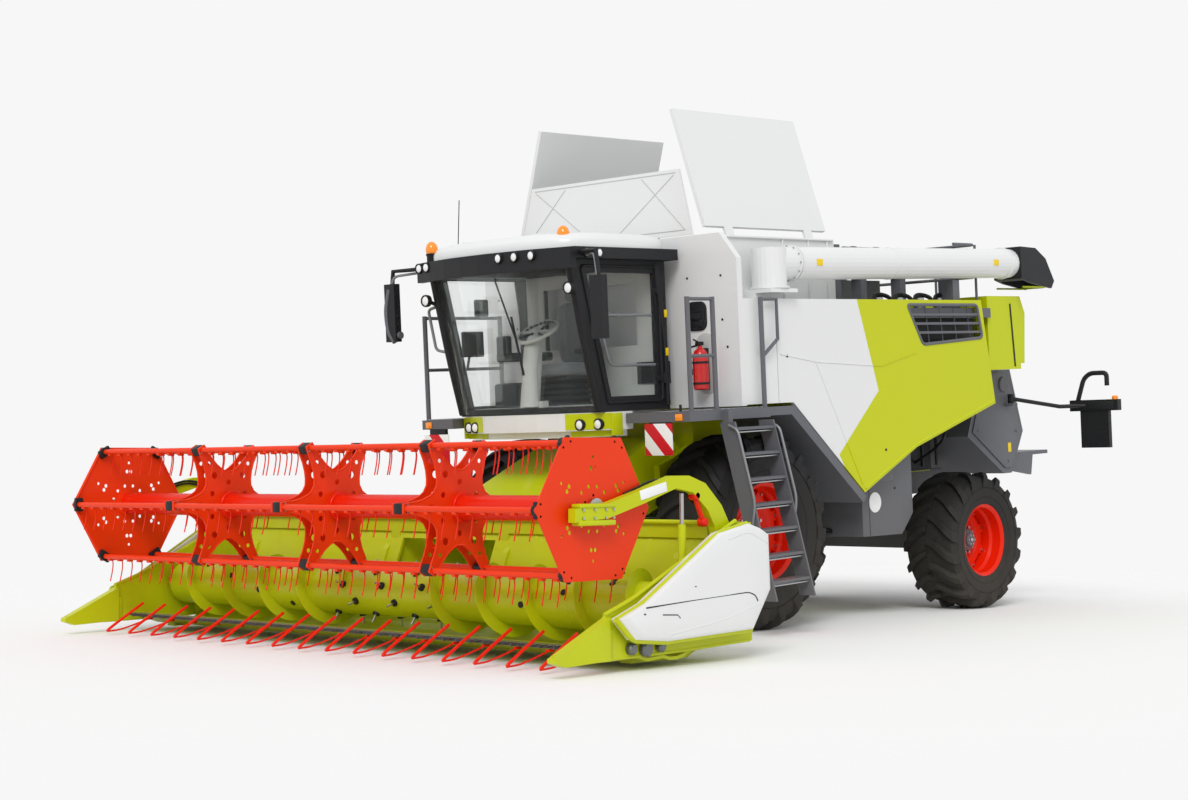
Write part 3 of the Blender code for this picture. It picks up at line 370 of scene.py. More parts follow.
@dataclass(frozen=True)
class Lens(Finish):
    """A clear or coloured moulded lamp lens behind a glossy face.

    Args:
        glow: strength of the light that it gives out.
    """

    glow: float = 0.0

    def surface(self, tree: NodeTree, shader: Node) -> None:
        """Give the lens a little light of its own."""
        shader.inputs["Emission Color"].default_value = linear(self.colour)
        shader.inputs["Emission Strength"].default_value = self.glow


@dataclass(frozen=True)
class Hazard(Finish):
    """Reflective sheeting in slanting red and white stripes.

    Args:
        stripe_mm: width of one stripe.
    """

    stripe_mm: float = 100.0

    def tint(self, tree: NodeTree, coords: Socket, patches: Socket) -> Socket:
        """Stripes that lean at 45 degrees.

        Args:
            tree: the material's node tree.
            coords: the point's place on the machine.
            patches: the soft noise; not used, as sheeting does not follow it.

        Returns:
            The colour's socket.
        """
        x, y, z = add_node(tree, "SeparateXYZ", {0: coords}).outputs
        slant = maths(tree, "ADD", maths(tree, "ADD", x, z), y)
        # A stripe's width across its slant is its width along the axes over root two.
        wave = maths(tree, "PINGPONG", slant, self.stripe_mm / 707)
        stripe = maths(tree, "GREATER_THAN", wave, self.stripe_mm / 1414)
        return blend(tree, stripe, linear("#F2F3F2"), linear(self.colour))


@dataclass(frozen=True)
class Woven(Finish):
    """Woven seat cloth: two crossed sets of threads, wide enough apart to show.

    Args:
        thread_mm: distance from one thread to the next.
    """

    thread_mm: float = 4.0

    def surface(self, tree: NodeTree, shader: Node) -> None:
        """Raise the threads and give the cloth its sheen."""
        coords = add_node(tree, "TexCoord").outputs["Object"]
        scale = 500 / self.thread_mm / math.pi
        warp, weft = (
            add_node(tree, "TexWave", {"bands_direction": way, "Scale": scale, "Vector": coords})
            for way in ("X", "Z")
        )
        weave = maths(tree, "MAXIMUM", warp.outputs["Fac"], weft.outputs["Fac"])
        bump = add_node(tree, "Bump", {"Strength": 0.4, "Distance": 0.001, "Height": weave})
        tree.links.new(bump.outputs[0], shader.inputs["Normal"])
        shader.inputs["Sheen Weight"].default_value = 0.4


PANEL_LINE = ((5.17, 1.08), (4.86, 1.55), (5.54, 2.14), (5.24, 3.03))

# Baked two-pack paint on sheet steel: even colour, deep gloss, faint orange peel.
LIME = Finish("lime_sheet_paint", "#C6D000", "lime_paint", 0.36, coat=0.12, dirt=0.12, sheen=0.2)
# A darker copy of the lime paint: painted shade for lime parts that sit in shadow.
LIME_PAINTED_SHADE = Finish("lime_shaded_paint", "#A2AE00", "lime_paint", 0.4, dirt=0.2, sheen=0.2)
WHITE = Finish("white_sheet_paint", "#E6E7E7", "white_paint", 0.3, coat=0.3, drift=0.03)
SIDE_PAINT = TwoTone(
    "two_tone_panel_paint", "#E6E7E7", "white_paint", 0.34, coat=0.12, drift=0.03,
    sheen=0.2, second="#C4CB00", line=PANEL_LINE,
)
RED = Finish("signal_red_paint", "#E82200", "red_paint", 0.38, coat=0.1, drift=0.08, sheen=0.2)
ORANGE = Finish("orange_red_paint", "#F03A08", "red_paint", 0.4, coat=0.1, drift=0.08, sheen=0.2)
GREY = Finish("dark_grey_frame_paint", "#66676D", "grey_paint", 0.45, dirt=0.25)
# Injection-moulded plastic: fine grain from the mould takes the edge off its gloss.
BLACK = Finish("moulded_black_plastic", "#1D1E21", "black_plastic", 0.5, grain_mm=1.5, relief=0.12)
SOFT_GREY = Finish("moulded_grey_trim", "#C4C6C3", "grey_paint", 0.55, grain_mm=1.5, relief=0.1)
DARK_TRIM = Finish("dark_cab_trim", "#3B3E41", "black_plastic", 0.6, grain_mm=1.5, relief=0.1)
# Vulcanised tyre rubber: matt black, chalky where dust sits in the tread.
TYRE = Finish(
    "vulcanised_tyre_rubber", "#1F1F21", "tyre_rubber", 0.66, drift=0.35, patch_mm=90,
    grain_mm=4, relief=0.2, dirt=0.22, sheen=0.25,
)
# Extruded hose rubber: smooth, a little glossy.
HOSE = Finish("black_hose_rubber", "#17181A", "black_plastic", 0.45, grain_mm=2, relief=0.1)
# Zinc-plated, machined and galvanised steel: three grades of grey metal.
STEEL = Brushed("zinc_plated_steel", "#B9BBBD", "bare_steel")
CAST = Finish("machined_cast_steel", "#77797B", "bare_steel", 0.42, metallic=0.8, relief=0.15)
RAIL = Finish("galvanised_rail_tube", "#85878B", "bare_steel", 0.42, metallic=0.3)
# Toughened float glass with a faint green tint: nearly clear face on.
CLEAR = Glass("toughened_cab_glass", "#D9E9E5", "clear_glass", 0.03, drift=0.02, relief=0.0)
# Moulded acrylic and polycarbonate lenses: hard gloss over a body that seems lit.
LAMP = Lens("clear_lamp_lens", "#EDEFF0", "clear_glass", 0.1, coat=1.0, glow=0.12)
AMBER = Lens("amber_lamp_lens", "#F08A00", "clear_glass", 0.12, coat=1.0, glow=0.2)
TAIL = Lens("red_lamp_lens", "#B01010", "clear_glass", 0.12, coat=1.0, glow=0.1)
# Self-adhesive reflective sheeting: flat colour under a smooth film.
STRIPES = Hazard("red_white_sheeting", "#CF1020", "red_paint", 0.35, drift=0.02)
BLANK_YELLOW = Finish("blank_yellow_label", "#F2D000", "lime_paint", 0.4, drift=0.02)
BLANK_WHITE = Finish("white_reflective_sheet", "#F3F4F4", "white_paint", 0.3, drift=0.02)
# Woven polyester: matt, with a soft sheen where it turns away.
SEAT_CLOTH = Woven("woven_seat_cloth", "#7C8083", "seat_fabric", 0.85, drift=0.12, patch_mm=60)
# Stove enamel on a pressed steel bottle: the glossiest paint on the machine.
EXTINGUISHER = Finish("extinguisher_enamel", "#D01818", "red_paint", 0.2, coat=0.6, drift=0.03)


# ------------------------------------------------------------------ shapes
class Shape:
    """Solid forms gathered for one piece, in one datum."""

    def __init__(self, datum: Datum = Datum.GROUND) -> None:
        """Start an empty shape in the given datum."""
        self.mesh = bmesh.new()
        self.datum = datum

    def absorb(self, form: bmesh.types.BMesh, matrix: Matrix | None = None) -> None:
        """Take over the faces of another mesh.

        Args:
            form: the mesh, which is freed.
            matrix: what moves it first, if anything.
        """
        if matrix is not None:
            bmesh.ops.transform(form, matrix=matrix, verts=form.verts)
        bmesh.ops.recalc_face_normals(form, faces=form.faces)
        carrier = bpy.data.meshes.new("carrier")
        form.to_mesh(carrier)
        form.free()
        self.mesh.from_mesh(carrier)
        bpy.data.meshes.remove(carrier)

    def block(
        self, x: Span, y: Span, z: Span, edge: float = 0.0, turn: Matrix | None = None
    ) -> None:
        """A block with rounded edges.

        Args:
            x: its low and high x; y and z are the same.
            y: low and high y.
            z: low and high z.
            edge: radius of its edges.
            turn: a matrix that moves it afterwards.
        """
        form = bmesh.new()
        size = Matrix.Diagonal((abs(x[1] - x[0]), abs(y[1] - y[0]), abs(z[1] - z[0]), 1))
        middle = Matrix.Translation((sum(x) / 2, sum(y) / 2, sum(z) / 2))
        bmesh.ops.create_cube(form, size=1, matrix=middle @ size)
        if edge:
            bmesh.ops.bevel(
                form, geom=form.edges[:], offset=edge, segments=2, affect="EDGES", profile=0.5
            )
        self.absorb(form, turn)

    def prism(
        self,
        outline: Flat,
        axis: str,
        low: float,
        high: float,
        edge: float = 0.0,
        holes: Iterable[Flat] = (),
        turn: Matrix | None = None,
    ) -> None:
        """A flat outline, with any holes, extruded along an axis.

        Args:
            outline: (y, z) points along X, (x, z) along Y or (x, y) along Z.
            axis: X, Y or Z.
            low: where it starts on the axis.
            high: where it ends.
            edge: radius of its edges.
            holes: outlines cut out of it.
            turn: a matrix that moves it afterwards.
        """
        curve = bpy.data.curves.new("outline", "CURVE")
        curve.dimensions = "2D"
        curve.fill_mode = "BOTH"
        curve.extrude = abs(high - low) / 2
        for loop in (outline, *holes):
            spline = curve.splines.new("POLY")
            spline.points.add(len(loop) - 1)
            spline.use_cyclic_u = True
            for point, (a, b) in zip(spline.points, loop):
                point.co = (b, a, 0, 1) if axis == "Y" else (a, b, 0, 1)
        carrier = bpy.data.objects.new("outline", curve)
        mesh = bpy.data.meshes.new_from_object(carrier)
        bpy.data.objects.remove(carrier)
        bpy.data.curves.remove(curve)
        form = bmesh.new()
        form.from_mesh(mesh)
        bpy.data.meshes.remove(mesh)
        bmesh.ops.remove_doubles(form, verts=form.verts, dist=1e-5)
        turns = {
            "X": Matrix(((0, 0, 1, 0), (1, 0, 0, 0), (0, 1, 0, 0), (0, 0, 0, 1))),
            "Y": Matrix(((0, 1, 0, 0), (0, 0, 1, 0), (1, 0, 0, 0), (0, 0, 0, 1))),
            "Z": Matrix.Identity(4),
        }
        if edge:
            bmesh.ops.dissolve_limit(
                form, angle_limit=0.01, verts=form.verts[:], edges=form.edges[:]
            )
            sharp = [e for e in form.edges if e.is_manifold and e.calc_face_angle(0) > 0.6]
            bmesh.ops.bevel(form, geom=sharp, offset=edge, segments=2, affect="EDGES", profile=0.5)
        place = turns[axis] @ Matrix.Translation((0, 0, (low + high) / 2))
        self.absorb(form, turn @ place if turn else place)

    def tube(self, points: Flat, radius: float, sides: int = 10, flat: float = 1.0) -> None:
        """A round bar bent through points.

        Args:
            points: the points of its middle line.
            radius: its radius.
            sides: how many faces round it.
            flat: how far its second axis is squeezed.
        """
        path = [Vector(p) for p in points]
        form = bmesh.new()
        rings = []
        normal = None
        for index, here in enumerate(path):
            before = path[max(index - 1, 0)]
            after = path[min(index + 1, len(path) - 1)]
            way = (after - before).normalized()
            if normal is None:
                normal = way.orthogonal().normalized()
            normal = (normal - way * normal.dot(way)).normalized()
            side = way.cross(normal)
            lean = 1.0
            if 0 < index < len(path) - 1:
                bend = (here - before).normalized().dot((after - here).normalized())
                lean = 1 / max(math.sqrt((1 + bend) / 2), 0.6)
            ring = []
            for step in range(sides):
                angle = 2 * math.pi * step / sides
                offset = normal * math.cos(angle) + side * (math.sin(angle) * flat)
                ring.append(form.verts.new(here + offset * radius * lean))
            rings.append(ring)
        for first, second in zip(rings, rings[1:]):
            for step in range(sides):
                after = (step + 1) % sides
                form.faces.new((first[step], first[after], second[after], second[step]))
        form.faces.new(rings[0][::-1])
        form.faces.new(rings[-1])
        self.absorb(form)

    def turned(
        self, profile: Flat, centre: Point, axis: str = "X", steps: int = 48, closed: bool = False
    ) -> None:
        """A form turned about an axis.

        Args:
            profile: (distance along the axis, radius) points.
            centre: the point that the distances start from.
            axis: X, Y or Z.
            steps: how many faces round it.
            closed: whether the profile is a loop that misses the axis.
        """
        form = bmesh.new()
        frames = {
            "X": (Vector((1, 0, 0)), Vector((0, 1, 0)), Vector((0, 0, 1))),
            "Y": (Vector((0, 1, 0)), Vector((0, 0, 1)), Vector((1, 0, 0))),
            "Z": (Vector((0, 0, 1)), Vector((1, 0, 0)), Vector((0, 1, 0))),
        }
        way, first, second = frames[axis]
        rings = []
        for along, radius in profile:
            middle = Vector(centre) + way * along
            if radius < 1e-6:
                rings.append([form.verts.new(middle)])
                continue
            ring = []
            for step in range(steps):
                angle = 2 * math.pi * step / steps
                offset = first * math.cos(angle) + second * math.sin(angle)
                ring.append(form.verts.new(middle + offset * radius))
            rings.append(ring)
        pairs = list(zip(rings, rings[1:]))
        if closed:
            pairs.append((rings[-1], rings[0]))
        for one, two in pairs:
            for step in range(steps):
                after = (step + 1) % steps
                if len(one) == 1 and len(two) == 1:
                    continue
                if len(one) == 1:
                    form.faces.new((one[0], two[after], two[step]))
                elif len(two) == 1:
                    form.faces.new((one[step], one[after], two[0]))
                else:
                    form.faces.new((one[step], one[after], two[after], two[step]))
        if not closed:
            for ring in (rings[0], rings[-1]):
                if len(ring) > 1:
                    form.faces.new(ring)
        self.absorb(form)

    def disc(self, centre: Point, axis: str, radius: float, depth: float, sides: int = 20) -> None:
        """A short round slug with a rounded rim.

        Args:
            centre: the middle of its foot.
            axis: X, Y or Z.
            radius: its radius.
            depth: how far it stands along the axis, negative to stand the other way.
            sides: how many faces round it.
        """
        rim = min(radius, abs(depth)) * 0.3
        way = 1 if depth > 0 else -1
        profile = [(0, radius), (depth - way * rim, radius), (depth, radius - rim)]
        self.turned(profile, centre, axis, sides)

    def bolt(self, centre: Point, axis: str, size: float, depth: float) -> None:
        """A hexagon bolt head standing on a face."""
        self.turned([(0, size), (depth, size)], centre, axis, 6)

    def loft(self, rings: Sequence[Flat]) -> None:
        """A closed skin through rings, capped at both ends.

        Args:
            rings: loops of points, each with as many points as the others.
        """
        form = bmesh.new()
        made = [[form.verts.new(p) for p in ring] for ring in rings]
        count = len(made[0])
        for one, two in zip(made, made[1:]):
            for step in range(count):
                after = (step + 1) % count
                form.faces.new((one[step], one[after], two[after], two[step]))
        form.faces.new(made[0][::-1])
        form.faces.new(made[-1])
        self.absorb(form)

    def skin(self, node: str, columns: Sequence[float], rows: Sequence[float], lift: float) -> None:
        """A thin patch that lies on the front of a node.

        Args:
            node: the frame's node that it lies on.
            columns: the x of the patch's points.
            rows: the z of the patch's points.
            lift: how far its face stands off the node.
        """
        form = bmesh.new()
        sheets = []
        for stand in (lift, -0.004):
            sheet = []
            for z in rows:
                line = []
                for x in columns:
                    spot = touch(node, self.datum, (x, -3.0, z), (0, 1, 0))
                    if spot.y < -2.9:
                        spot = Vector((x, line[-1].co.y + stand, z))
                    line.append(form.verts.new(spot - Vector((0, stand, 0))))
                sheet.append(line)
            sheets.append(sheet)
        wide, high = len(columns), len(rows)
        for sheet in sheets:
            for row in range(high - 1):
                for col in range(wide - 1):
                    form.faces.new((sheet[row][col], sheet[row][col + 1],
                                    sheet[row + 1][col + 1], sheet[row + 1][col]))
        border = [(0, c) for c in range(wide)] + [(r, wide - 1) for r in range(1, high)]
        border += [(high - 1, c) for c in range(wide - 2, -1, -1)]
        border += [(r, 0) for r in range(high - 2, 0, -1)]
        front, back = sheets
        for (r1, c1), (r2, c2) in zip(border, border[1:] + border[:1]):
            form.faces.new((front[r1][c1], front[r2][c2], back[r2][c2], back[r1][c1]))
        self.absorb(form)

    def piece(
        self,
        name: str,
        finish: Finish,
        body: str,
        crease: float = 35.0,
        stands_for: Sequence[str] = (),
    ) -> bpy.types.Object:
        """Make the shape one object that rides on a body.

        Args:
            name: the piece's name.
            finish: its finish.
            body: the body it moves with.
            crease: edges bent more than this many degrees stay sharp.
            stands_for: the frame's nodes that it replaces.

        Returns:
            The new object.
        """
        mesh = bpy.data.meshes.new(name)
        self.mesh.transform(self.datum.matrix())
        self.mesh.to_mesh(mesh)
        self.mesh.free()
        mesh.polygons.foreach_set("use_smooth", [True] * len(mesh.polygons))
        mesh.set_sharp_from_angle(angle=math.radians(crease))
        mesh.materials.append(finish.make())
        made = bpy.data.objects.new(name, mesh)
        bpy.context.scene.collection.objects.link(made)
        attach(made, body)
        if stands_for:
            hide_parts(*stands_for)
        return made


def smooth_path(points: Flat, steps: int = 6) -> list[Vector]:
    """Points on a smooth curve that passes through the given points.

    Args:
        points: the points to pass through.
        steps: how many points each stretch is cut into.

    Returns:
        The denser list of points.
    """
    path = [Vector(p) for p in points]
    padded = [path[0] * 2 - path[1], *path, path[-1] * 2 - path[-2]]
    made = []
    for index in range(1, len(padded) - 2):
        a, b, c, d = padded[index - 1 : index + 3]
        for step in range(steps):
            t = step / steps
            made.append(
                0.5
                * (
                    2 * b
                    + (c - a) * t
                    + (2 * a - 5 * b + 4 * c - d) * t * t
                    + (3 * b - a - 3 * c + d) * t * t * t
                )
            )
    made.append(path[-1])
    return made


def rounded_path(points: Flat, radius: float, steps: int = 4) -> list[Vector]:
    """A bent line whose corners are rounded.

    Args:
        points: its corners.
        radius: how far before and after each corner the bend reaches.
        steps: how many stretches a bend has.

    Returns:
        The points of the line.
    """
    path = [Vector(p) for p in points]
    made = [path[0]]
    for before, here, after in zip(path, path[1:], path[2:]):
        back = before - here
        ahead = after - here
        reach = min(radius, back.length * 0.45, ahead.length * 0.45)
        start = here + back.normalized() * reach
        end = here + ahead.normalized() * reach
        for step in range(steps + 1):
            t = step / steps
            made.append(start * (1 - t) ** 2 + here * 2 * t * (1 - t) + end * t * t)
    made.append(path[-1])
    return made


def ring_of(centre: Point, radius: float, count: int, start: float = 0.0) -> list[tuple]:
    """Evenly spaced points on a circle.

    Args:
        centre: its middle, as two coordinates.
        radius: its radius.
        count: how many points it has.
        start: the first point's angle in degrees.

    Returns:
        The points, as pairs.
    """
    made = []
    for index in range(count):
        angle = math.radians(start) + 2 * math.pi * index / count
        made.append((centre[0] + radius * math.cos(angle), centre[1] + radius * math.sin(angle)))
    return made


@lru_cache(maxsize=None)
def surface_of(node: str) -> BVHTree:
    """The search tree of a node's faces.

    Args:
        node: the frame's node.

    Returns:
        The tree, in the frame's axes.
    """
    mesh = frame["nodes"][node].data
    points = [v.co.copy() for v in mesh.vertices]
    return BVHTree.FromPolygons(points, [tuple(p.vertices) for p in mesh.polygons])


def touch(node: str, datum: Datum, start: Point, way: Point) -> Vector:
    """Where a line first meets a node.

    Args:
        node: the frame's node.
        datum: the datum of the start, the way and the answer.
        start: where the line starts.
        way: its direction.

    Returns:
        The point on the node, or the start if the line misses it.
    """
    matrix = datum.matrix()
    place = surface_of(node).ray_cast(matrix @ Vector(start), matrix.to_3x3() @ Vector(way))[0]
    return matrix.inverted() @ place if place else Vector(start)


def dress(names: Iterable[str], finish: Finish) -> None:
    """Give nodes of the frame a finish in place of their plain one.

    Args:
        names: the nodes.
        finish: what they are made of.
    """
    for name in names:
        node = frame["nodes"][name]
        node.data.materials.clear()
        node.data.materials.append(finish.make())


# ------------------------------------------------------------------ studio
@dataclass
class Studio:
    """The camera, the soft light and the pale floor.

    Args:
        eye: where the camera stands.
        right: the direction to its right.
        up: the direction above it.
        ahead: the direction that it looks in.
        lens_mm: focal length on a sensor 36 mm wide.
        floor_half: half the floor's width.
        floor_fade: how far from the middle the floor starts and ends its fade.
        dome: strength of the light from all round.
        key: strength of the sun.
        sun_from: the direction that the sun stands in.
        sun_width: how many degrees of sky the sun takes up.
        backdrop: brightness of what is seen behind the machine.
    """

    eye: Point = (13.226066, -15.135518, 1.487571)
    right: Point = (0.72474444, 0.68898053, -0.00716421)
    up: Point = (0.02852979, -0.01961869, 0.9994004)
    ahead: Point = (-0.68842686, 0.72451428, 0.03387501)
    lens_mm: float = 61.42
    floor_half: float = 60.0
    floor_fade: Span = (5.0, 11.0)
    dome: float = 0.72
    key: float = 1.5
    sun_from: Point = (0.6, -0.8, 0.85)
    sun_width: float = 25.0
    backdrop: float = 0.93

    def camera(self) -> None:
        """Set the camera at the viewing angle."""
        data = bpy.data.cameras.new("camera")
        data.lens = self.lens_mm
        data.sensor_width = 36
        data.sensor_fit = "HORIZONTAL"
        data.clip_end = 300
        made = bpy.data.objects.new("camera", data)
        columns = (self.right, self.up, [-v for v in self.ahead])
        made.matrix_world = Matrix.Translation(self.eye) @ Matrix(columns).transposed().to_4x4()
        bpy.context.scene.collection.objects.link(made)
        bpy.context.scene.camera = made

    def lights(self) -> None:
        """A pale dome and one wide sun above and in front."""
        world = bpy.data.worlds.new("dome")
        world.use_nodes = True
        tree = world.node_tree
        tree.nodes.clear()
        white = {"Color": linear("#FFFFFF")}
        dome = add_node(tree, "Background", {**white, "Strength": self.dome})
        seen = add_node(tree, "Background", {**white, "Strength": self.backdrop})
        path = add_node(tree, "LightPath").outputs
        share = path["Is Camera Ray"]
        for ray in ("Is Glossy Ray", "Is Transmission Ray"):
            share = maths(tree, "MAXIMUM", share, path[ray])
        both = add_node(tree, "MixShader", {0: share, 1: dome.outputs[0], 2: seen.outputs[0]})
        add_node(tree, "OutputWorld", {0: both.outputs[0]})
        bpy.context.scene.world = world
        sun = bpy.data.lights.new("sun", "SUN")
        sun.energy = self.key
        sun.angle = math.radians(self.sun_width)
        made = bpy.data.objects.new("sun", sun)
        made.rotation_euler = Vector(self.sun_from).to_track_quat("Z", "Y").to_euler()
        bpy.context.scene.collection.objects.link(made)

    def floor(self) -> None:
        """A wide pale floor that fades into the backdrop and keeps the shadow near the machine."""
        mesh = bpy.data.meshes.new("floor")
        half = self.floor_half
        mesh.from_pydata(
            [(-half, -half, 0), (half, -half, 0), (half, half, 0), (-half, half, 0)],
            [],
            [(0, 1, 2, 3)],
        )
        made = bpy.data.objects.new("floor", mesh)
        bpy.context.scene.collection.objects.link(made)
        paper = bpy.data.materials.new("matt_studio_floor")
        paper.use_nodes = True
        tree = paper.node_tree
        shader = tree.nodes["Principled BSDF"]
        shader.inputs["Base Color"].default_value = linear("#F7F7F7")
        shader.inputs["Roughness"].default_value = 0.9
        shader.inputs["Specular IOR Level"].default_value = 0.1
        coords = add_node(tree, "TexCoord").outputs["Object"]
        reach = add_node(tree, "VectorMath", {"operation": "LENGTH", 0: coords}).outputs["Value"]
        fade = remap(tree, reach, self.floor_fade, (1.0, 0.0))
        clear = add_node(tree, "BsdfTransparent").outputs[0]
        both = add_node(tree, "MixShader", {0: fade, 1: clear, 2: shader.outputs[0]})
        tree.links.new(both.outputs[0], tree.nodes["Material Output"].inputs["Surface"])
        mesh.materials.append(paper)

    def build(self) -> None:
        """Set up the whole studio."""
        bpy.context.scene.view_settings.view_transform = "Standard"
        self.camera()
        self.lights()
        self.floor()


# ------------------------------------------------------------------ wheels
@dataclass
class Wheel:
    """One wheel: a lugged tyre and a deep-dished rim.

    Args:
        axle: front or rear, the start of its pieces' names.
        side: left or right, the end of its pieces' names.
        centre: its centre's y and z.
        radius: the tyre's outer radius.
        width: the tyre's width.
        rim: the radius at which the tyre meets the rim.
        rim_width: the rim's width.
        dish: how far outboard of the centre the disc stands.
        lugs: how many lugs each half of the tread has.
        lug_depth: how far the lugs stand out of the carcass.
        lug_turn: how far round the wheel a lug runs, in radians.
    """

    axle: str
    side: str
    centre: tuple
    radius: float
    width: float
    rim: float
    rim_width: float
    dish: float
    lugs: int
    lug_depth: float = 0.042
    lug_turn: float = 0.30

    def place(self) -> tuple[int, tuple]:
        """The outboard direction and the wheel's centre."""
        out = SIDES[self.side]
        return out, (out * TRACK, *self.centre)

    def piece(self, shape: Shape, what: str, finish: Finish, crease: float, node: str = "") -> None:
        """Make a shape one of the wheel's pieces.

        Args:
            shape: the shape.
            what: the middle of the piece's name.
            finish: its finish.
            crease: edges bent more than this many degrees stay sharp.
            node: the middle of the name of the node that it replaces, if any.
        """
        name, body, old = (f"{self.axle}_{word}_{self.side}" for word in (what, "wheel", node))
        shape.piece(name, finish, body, crease, [old] if node else ())

    def tyre(self) -> None:
        """The carcass with its shoulders and bead, and two staggered rows of bent lugs."""
        out, centre = self.place()
        half = self.width / 2
        deep = self.radius - self.lug_depth
        wall = deep - self.rim
        shape = Shape()
        profile = [
            (-self.rim_width * 0.48, self.rim + 0.004),
            (-self.rim_width * 0.5 - 0.012, self.rim + 0.03),
            (-half * 0.93, self.rim + wall * 0.22),
            (-half * 0.985, self.rim + wall * 0.5),
            (-half * 0.97, self.rim + wall * 0.74),
            (-half * 0.90, self.rim + wall * 0.9),
            (-half * 0.74, deep - 0.012),
            (-half * 0.4, deep - 0.002),
            (0, deep),
        ]
        profile += [(-a, r) for a, r in profile[-2::-1]]
        profile += [(self.rim_width * 0.3, self.rim + 0.003),
            (-self.rim_width * 0.3, self.rim + 0.003)]
        shape.turned(profile, centre, "X", 72, closed=True)
        for ring_radius in (self.rim + wall * 0.3, self.rim + wall * 0.62):
            for way in (-1, 1):
                place = half * (0.945 if ring_radius < self.rim + wall * 0.4 else 0.982)
                bead = [
                    (way * (place - 0.01), ring_radius - 0.008),
                    (way * (place + 0.004), ring_radius),
                    (way * (place - 0.01), ring_radius + 0.008),
                ]
                shape.turned(bead, centre, "X", 72, closed=True)
        for way in (-1, 1):
            for index in range(self.lugs):
                start = 2 * math.pi * (index + (0.25 if way > 0 else 0.75)) / self.lugs
                shape.loft(self.lug(start, way))
        self.piece(shape, "lugged_tyre", TYRE, 32, "tyre")

    def lug(self, start: float, way: int) -> list[list[Point]]:
        """The rings of one tapered lug, from the tread's middle out to its shoulder.

        Args:
            start: its inner end's angle in radians.
            way: 1 for the outboard half of the tread, -1 for the inboard half.

        Returns:
            The rings.
        """
        out, centre = self.place()
        deep = self.radius - self.lug_depth
        wall = deep - self.rim
        steps = 7
        rings = []
        for step in range(steps + 1):
            t = step / steps
            x = centre[0] + way * out * self.width / 2 * (0.03 + 0.965 * t)
            angle = start + self.lug_turn * t**1.4
            top = self.radius if t < 0.8 else self.radius - (t - 0.8) * 5 * wall * 0.16
            root = deep - 0.02 if t < 0.75 else deep - (t - 0.75) * 4 * wall * 0.36
            thick = 0.030 + 0.014 * t
            ring = []
            for height, spread in ((root, 1.35), (top, 0.8), (top, -0.8), (root, -1.35)):
                turn = angle + spread * thick / height
                y = centre[1] - height * math.sin(turn)
                ring.append((x, y, centre[2] + height * math.cos(turn)))
            rings.append(ring)
        return rings

    def dished_rim(self) -> None:
        """The rim's barrel and flanges, and its dished disc with blocks round its edge."""
        out, centre = self.place()
        half = self.rim_width / 2
        rise = self.rim + 0.024
        inner = self.rim - 0.016
        shape = Shape()
        barrel = [
            (-half, rise), (-half - 0.006, rise - 0.006), (-half, rise - 0.018),
            (-half + 0.02, inner), (-half * 0.55, inner), (-half * 0.45, inner - 0.022),
            (half * 0.45, inner - 0.022), (half * 0.55, inner), (half - 0.02, inner),
            (half, rise - 0.018), (half + 0.006, rise - 0.006), (half, rise),
            (half - 0.012, rise - 0.004), (half - 0.03, self.rim - 0.002),
            (half * 0.5, self.rim - 0.004), (half * 0.4, inner - 0.01),
            (-half * 0.4, inner - 0.01), (-half * 0.5, self.rim - 0.004),
            (-half + 0.03, self.rim - 0.002), (-half + 0.012, rise - 0.004),
        ]
        shape.turned(barrel, centre, "X", 64, closed=True)
        lip = inner - 0.018
        disc = [
            (self.dish - 0.07, lip), (self.dish - 0.02, lip - 0.02),
            (self.dish + 0.005, lip * 0.84), (self.dish - 0.004, lip * 0.66),
            (self.dish - 0.03, lip * 0.58), (self.dish - 0.03, 0.13), (self.dish - 0.045, 0.13),
            (self.dish - 0.045, lip * 0.60), (self.dish - 0.02, lip * 0.68),
            (self.dish - 0.012, lip * 0.83), (self.dish - 0.036, lip - 0.032),
            (self.dish - 0.084, lip - 0.012),
        ]
        if out < 0:
            disc = [(-a, r) for a, r in disc]
        shape.turned(disc, centre, "X", 64, closed=True)
        for index, (y, z) in enumerate(ring_of(centre[1:], lip * 0.92, 8, 22.5)):
            place = centre[0] + out * (self.dish - 0.03)
            angle = 2 * math.pi * index / 8 + math.radians(22.5)
            turn = Matrix.Translation((place, y, z)) @ Matrix.Rotation(angle, 4, "X")
            shape.block((-0.03, 0.036), (-0.03, 0.03), (-0.05, 0.05), 0.008, turn)
        self.piece(shape, "dished_rim", RED, 32, "rim")
        self.hub(lip)

    def hub(self, lip: float) -> None:
        """The hub's stepped cover, the ring of wheel studs and the smaller bolts.

        Args:
            lip: the disc's outer radius.
        """
        out, centre = self.place()
        hub = Shape()
        face = centre[0] + out * (self.dish - 0.03)
        hub.disc((face - out * 0.02, *self.centre), "X", lip * 0.5, out * 0.03, 40)
        hub.disc((face, *self.centre), "X", 0.115, out * 0.07, 32)
        hub.disc((face + out * 0.06, *self.centre), "X", 0.075, out * 0.035, 24)
        self.piece(hub, "hub_cover", GREY if self.axle == "rear" else RED, 35)
        studs = Shape()
        for y, z in ring_of(self.centre, lip * 0.42, 10):
            studs.disc((face, y, z), "X", 0.021, out * 0.016, 12)
            studs.bolt((face + out * 0.01, y, z), "X", 0.016, out * 0.03)
        for y, z in ring_of(self.centre, 0.05, 6):
            studs.bolt((face + out * 0.09, y, z), "X", 0.009, out * 0.014)
        for y, z in ring_of(self.centre, lip * 0.92, 8, 22.5):
            studs.bolt((face + out * 0.034, y, z), "X", 0.014, out * 0.016)
        studs.disc((face + out * 0.09, *self.centre), "X", 0.022, out * 0.02, 16)
        self.piece(studs, "wheel_studs", STEEL, 35)

    def build(self) -> None:
        """Build the tyre and the rim."""
        self.tyre()
        self.dished_rim()


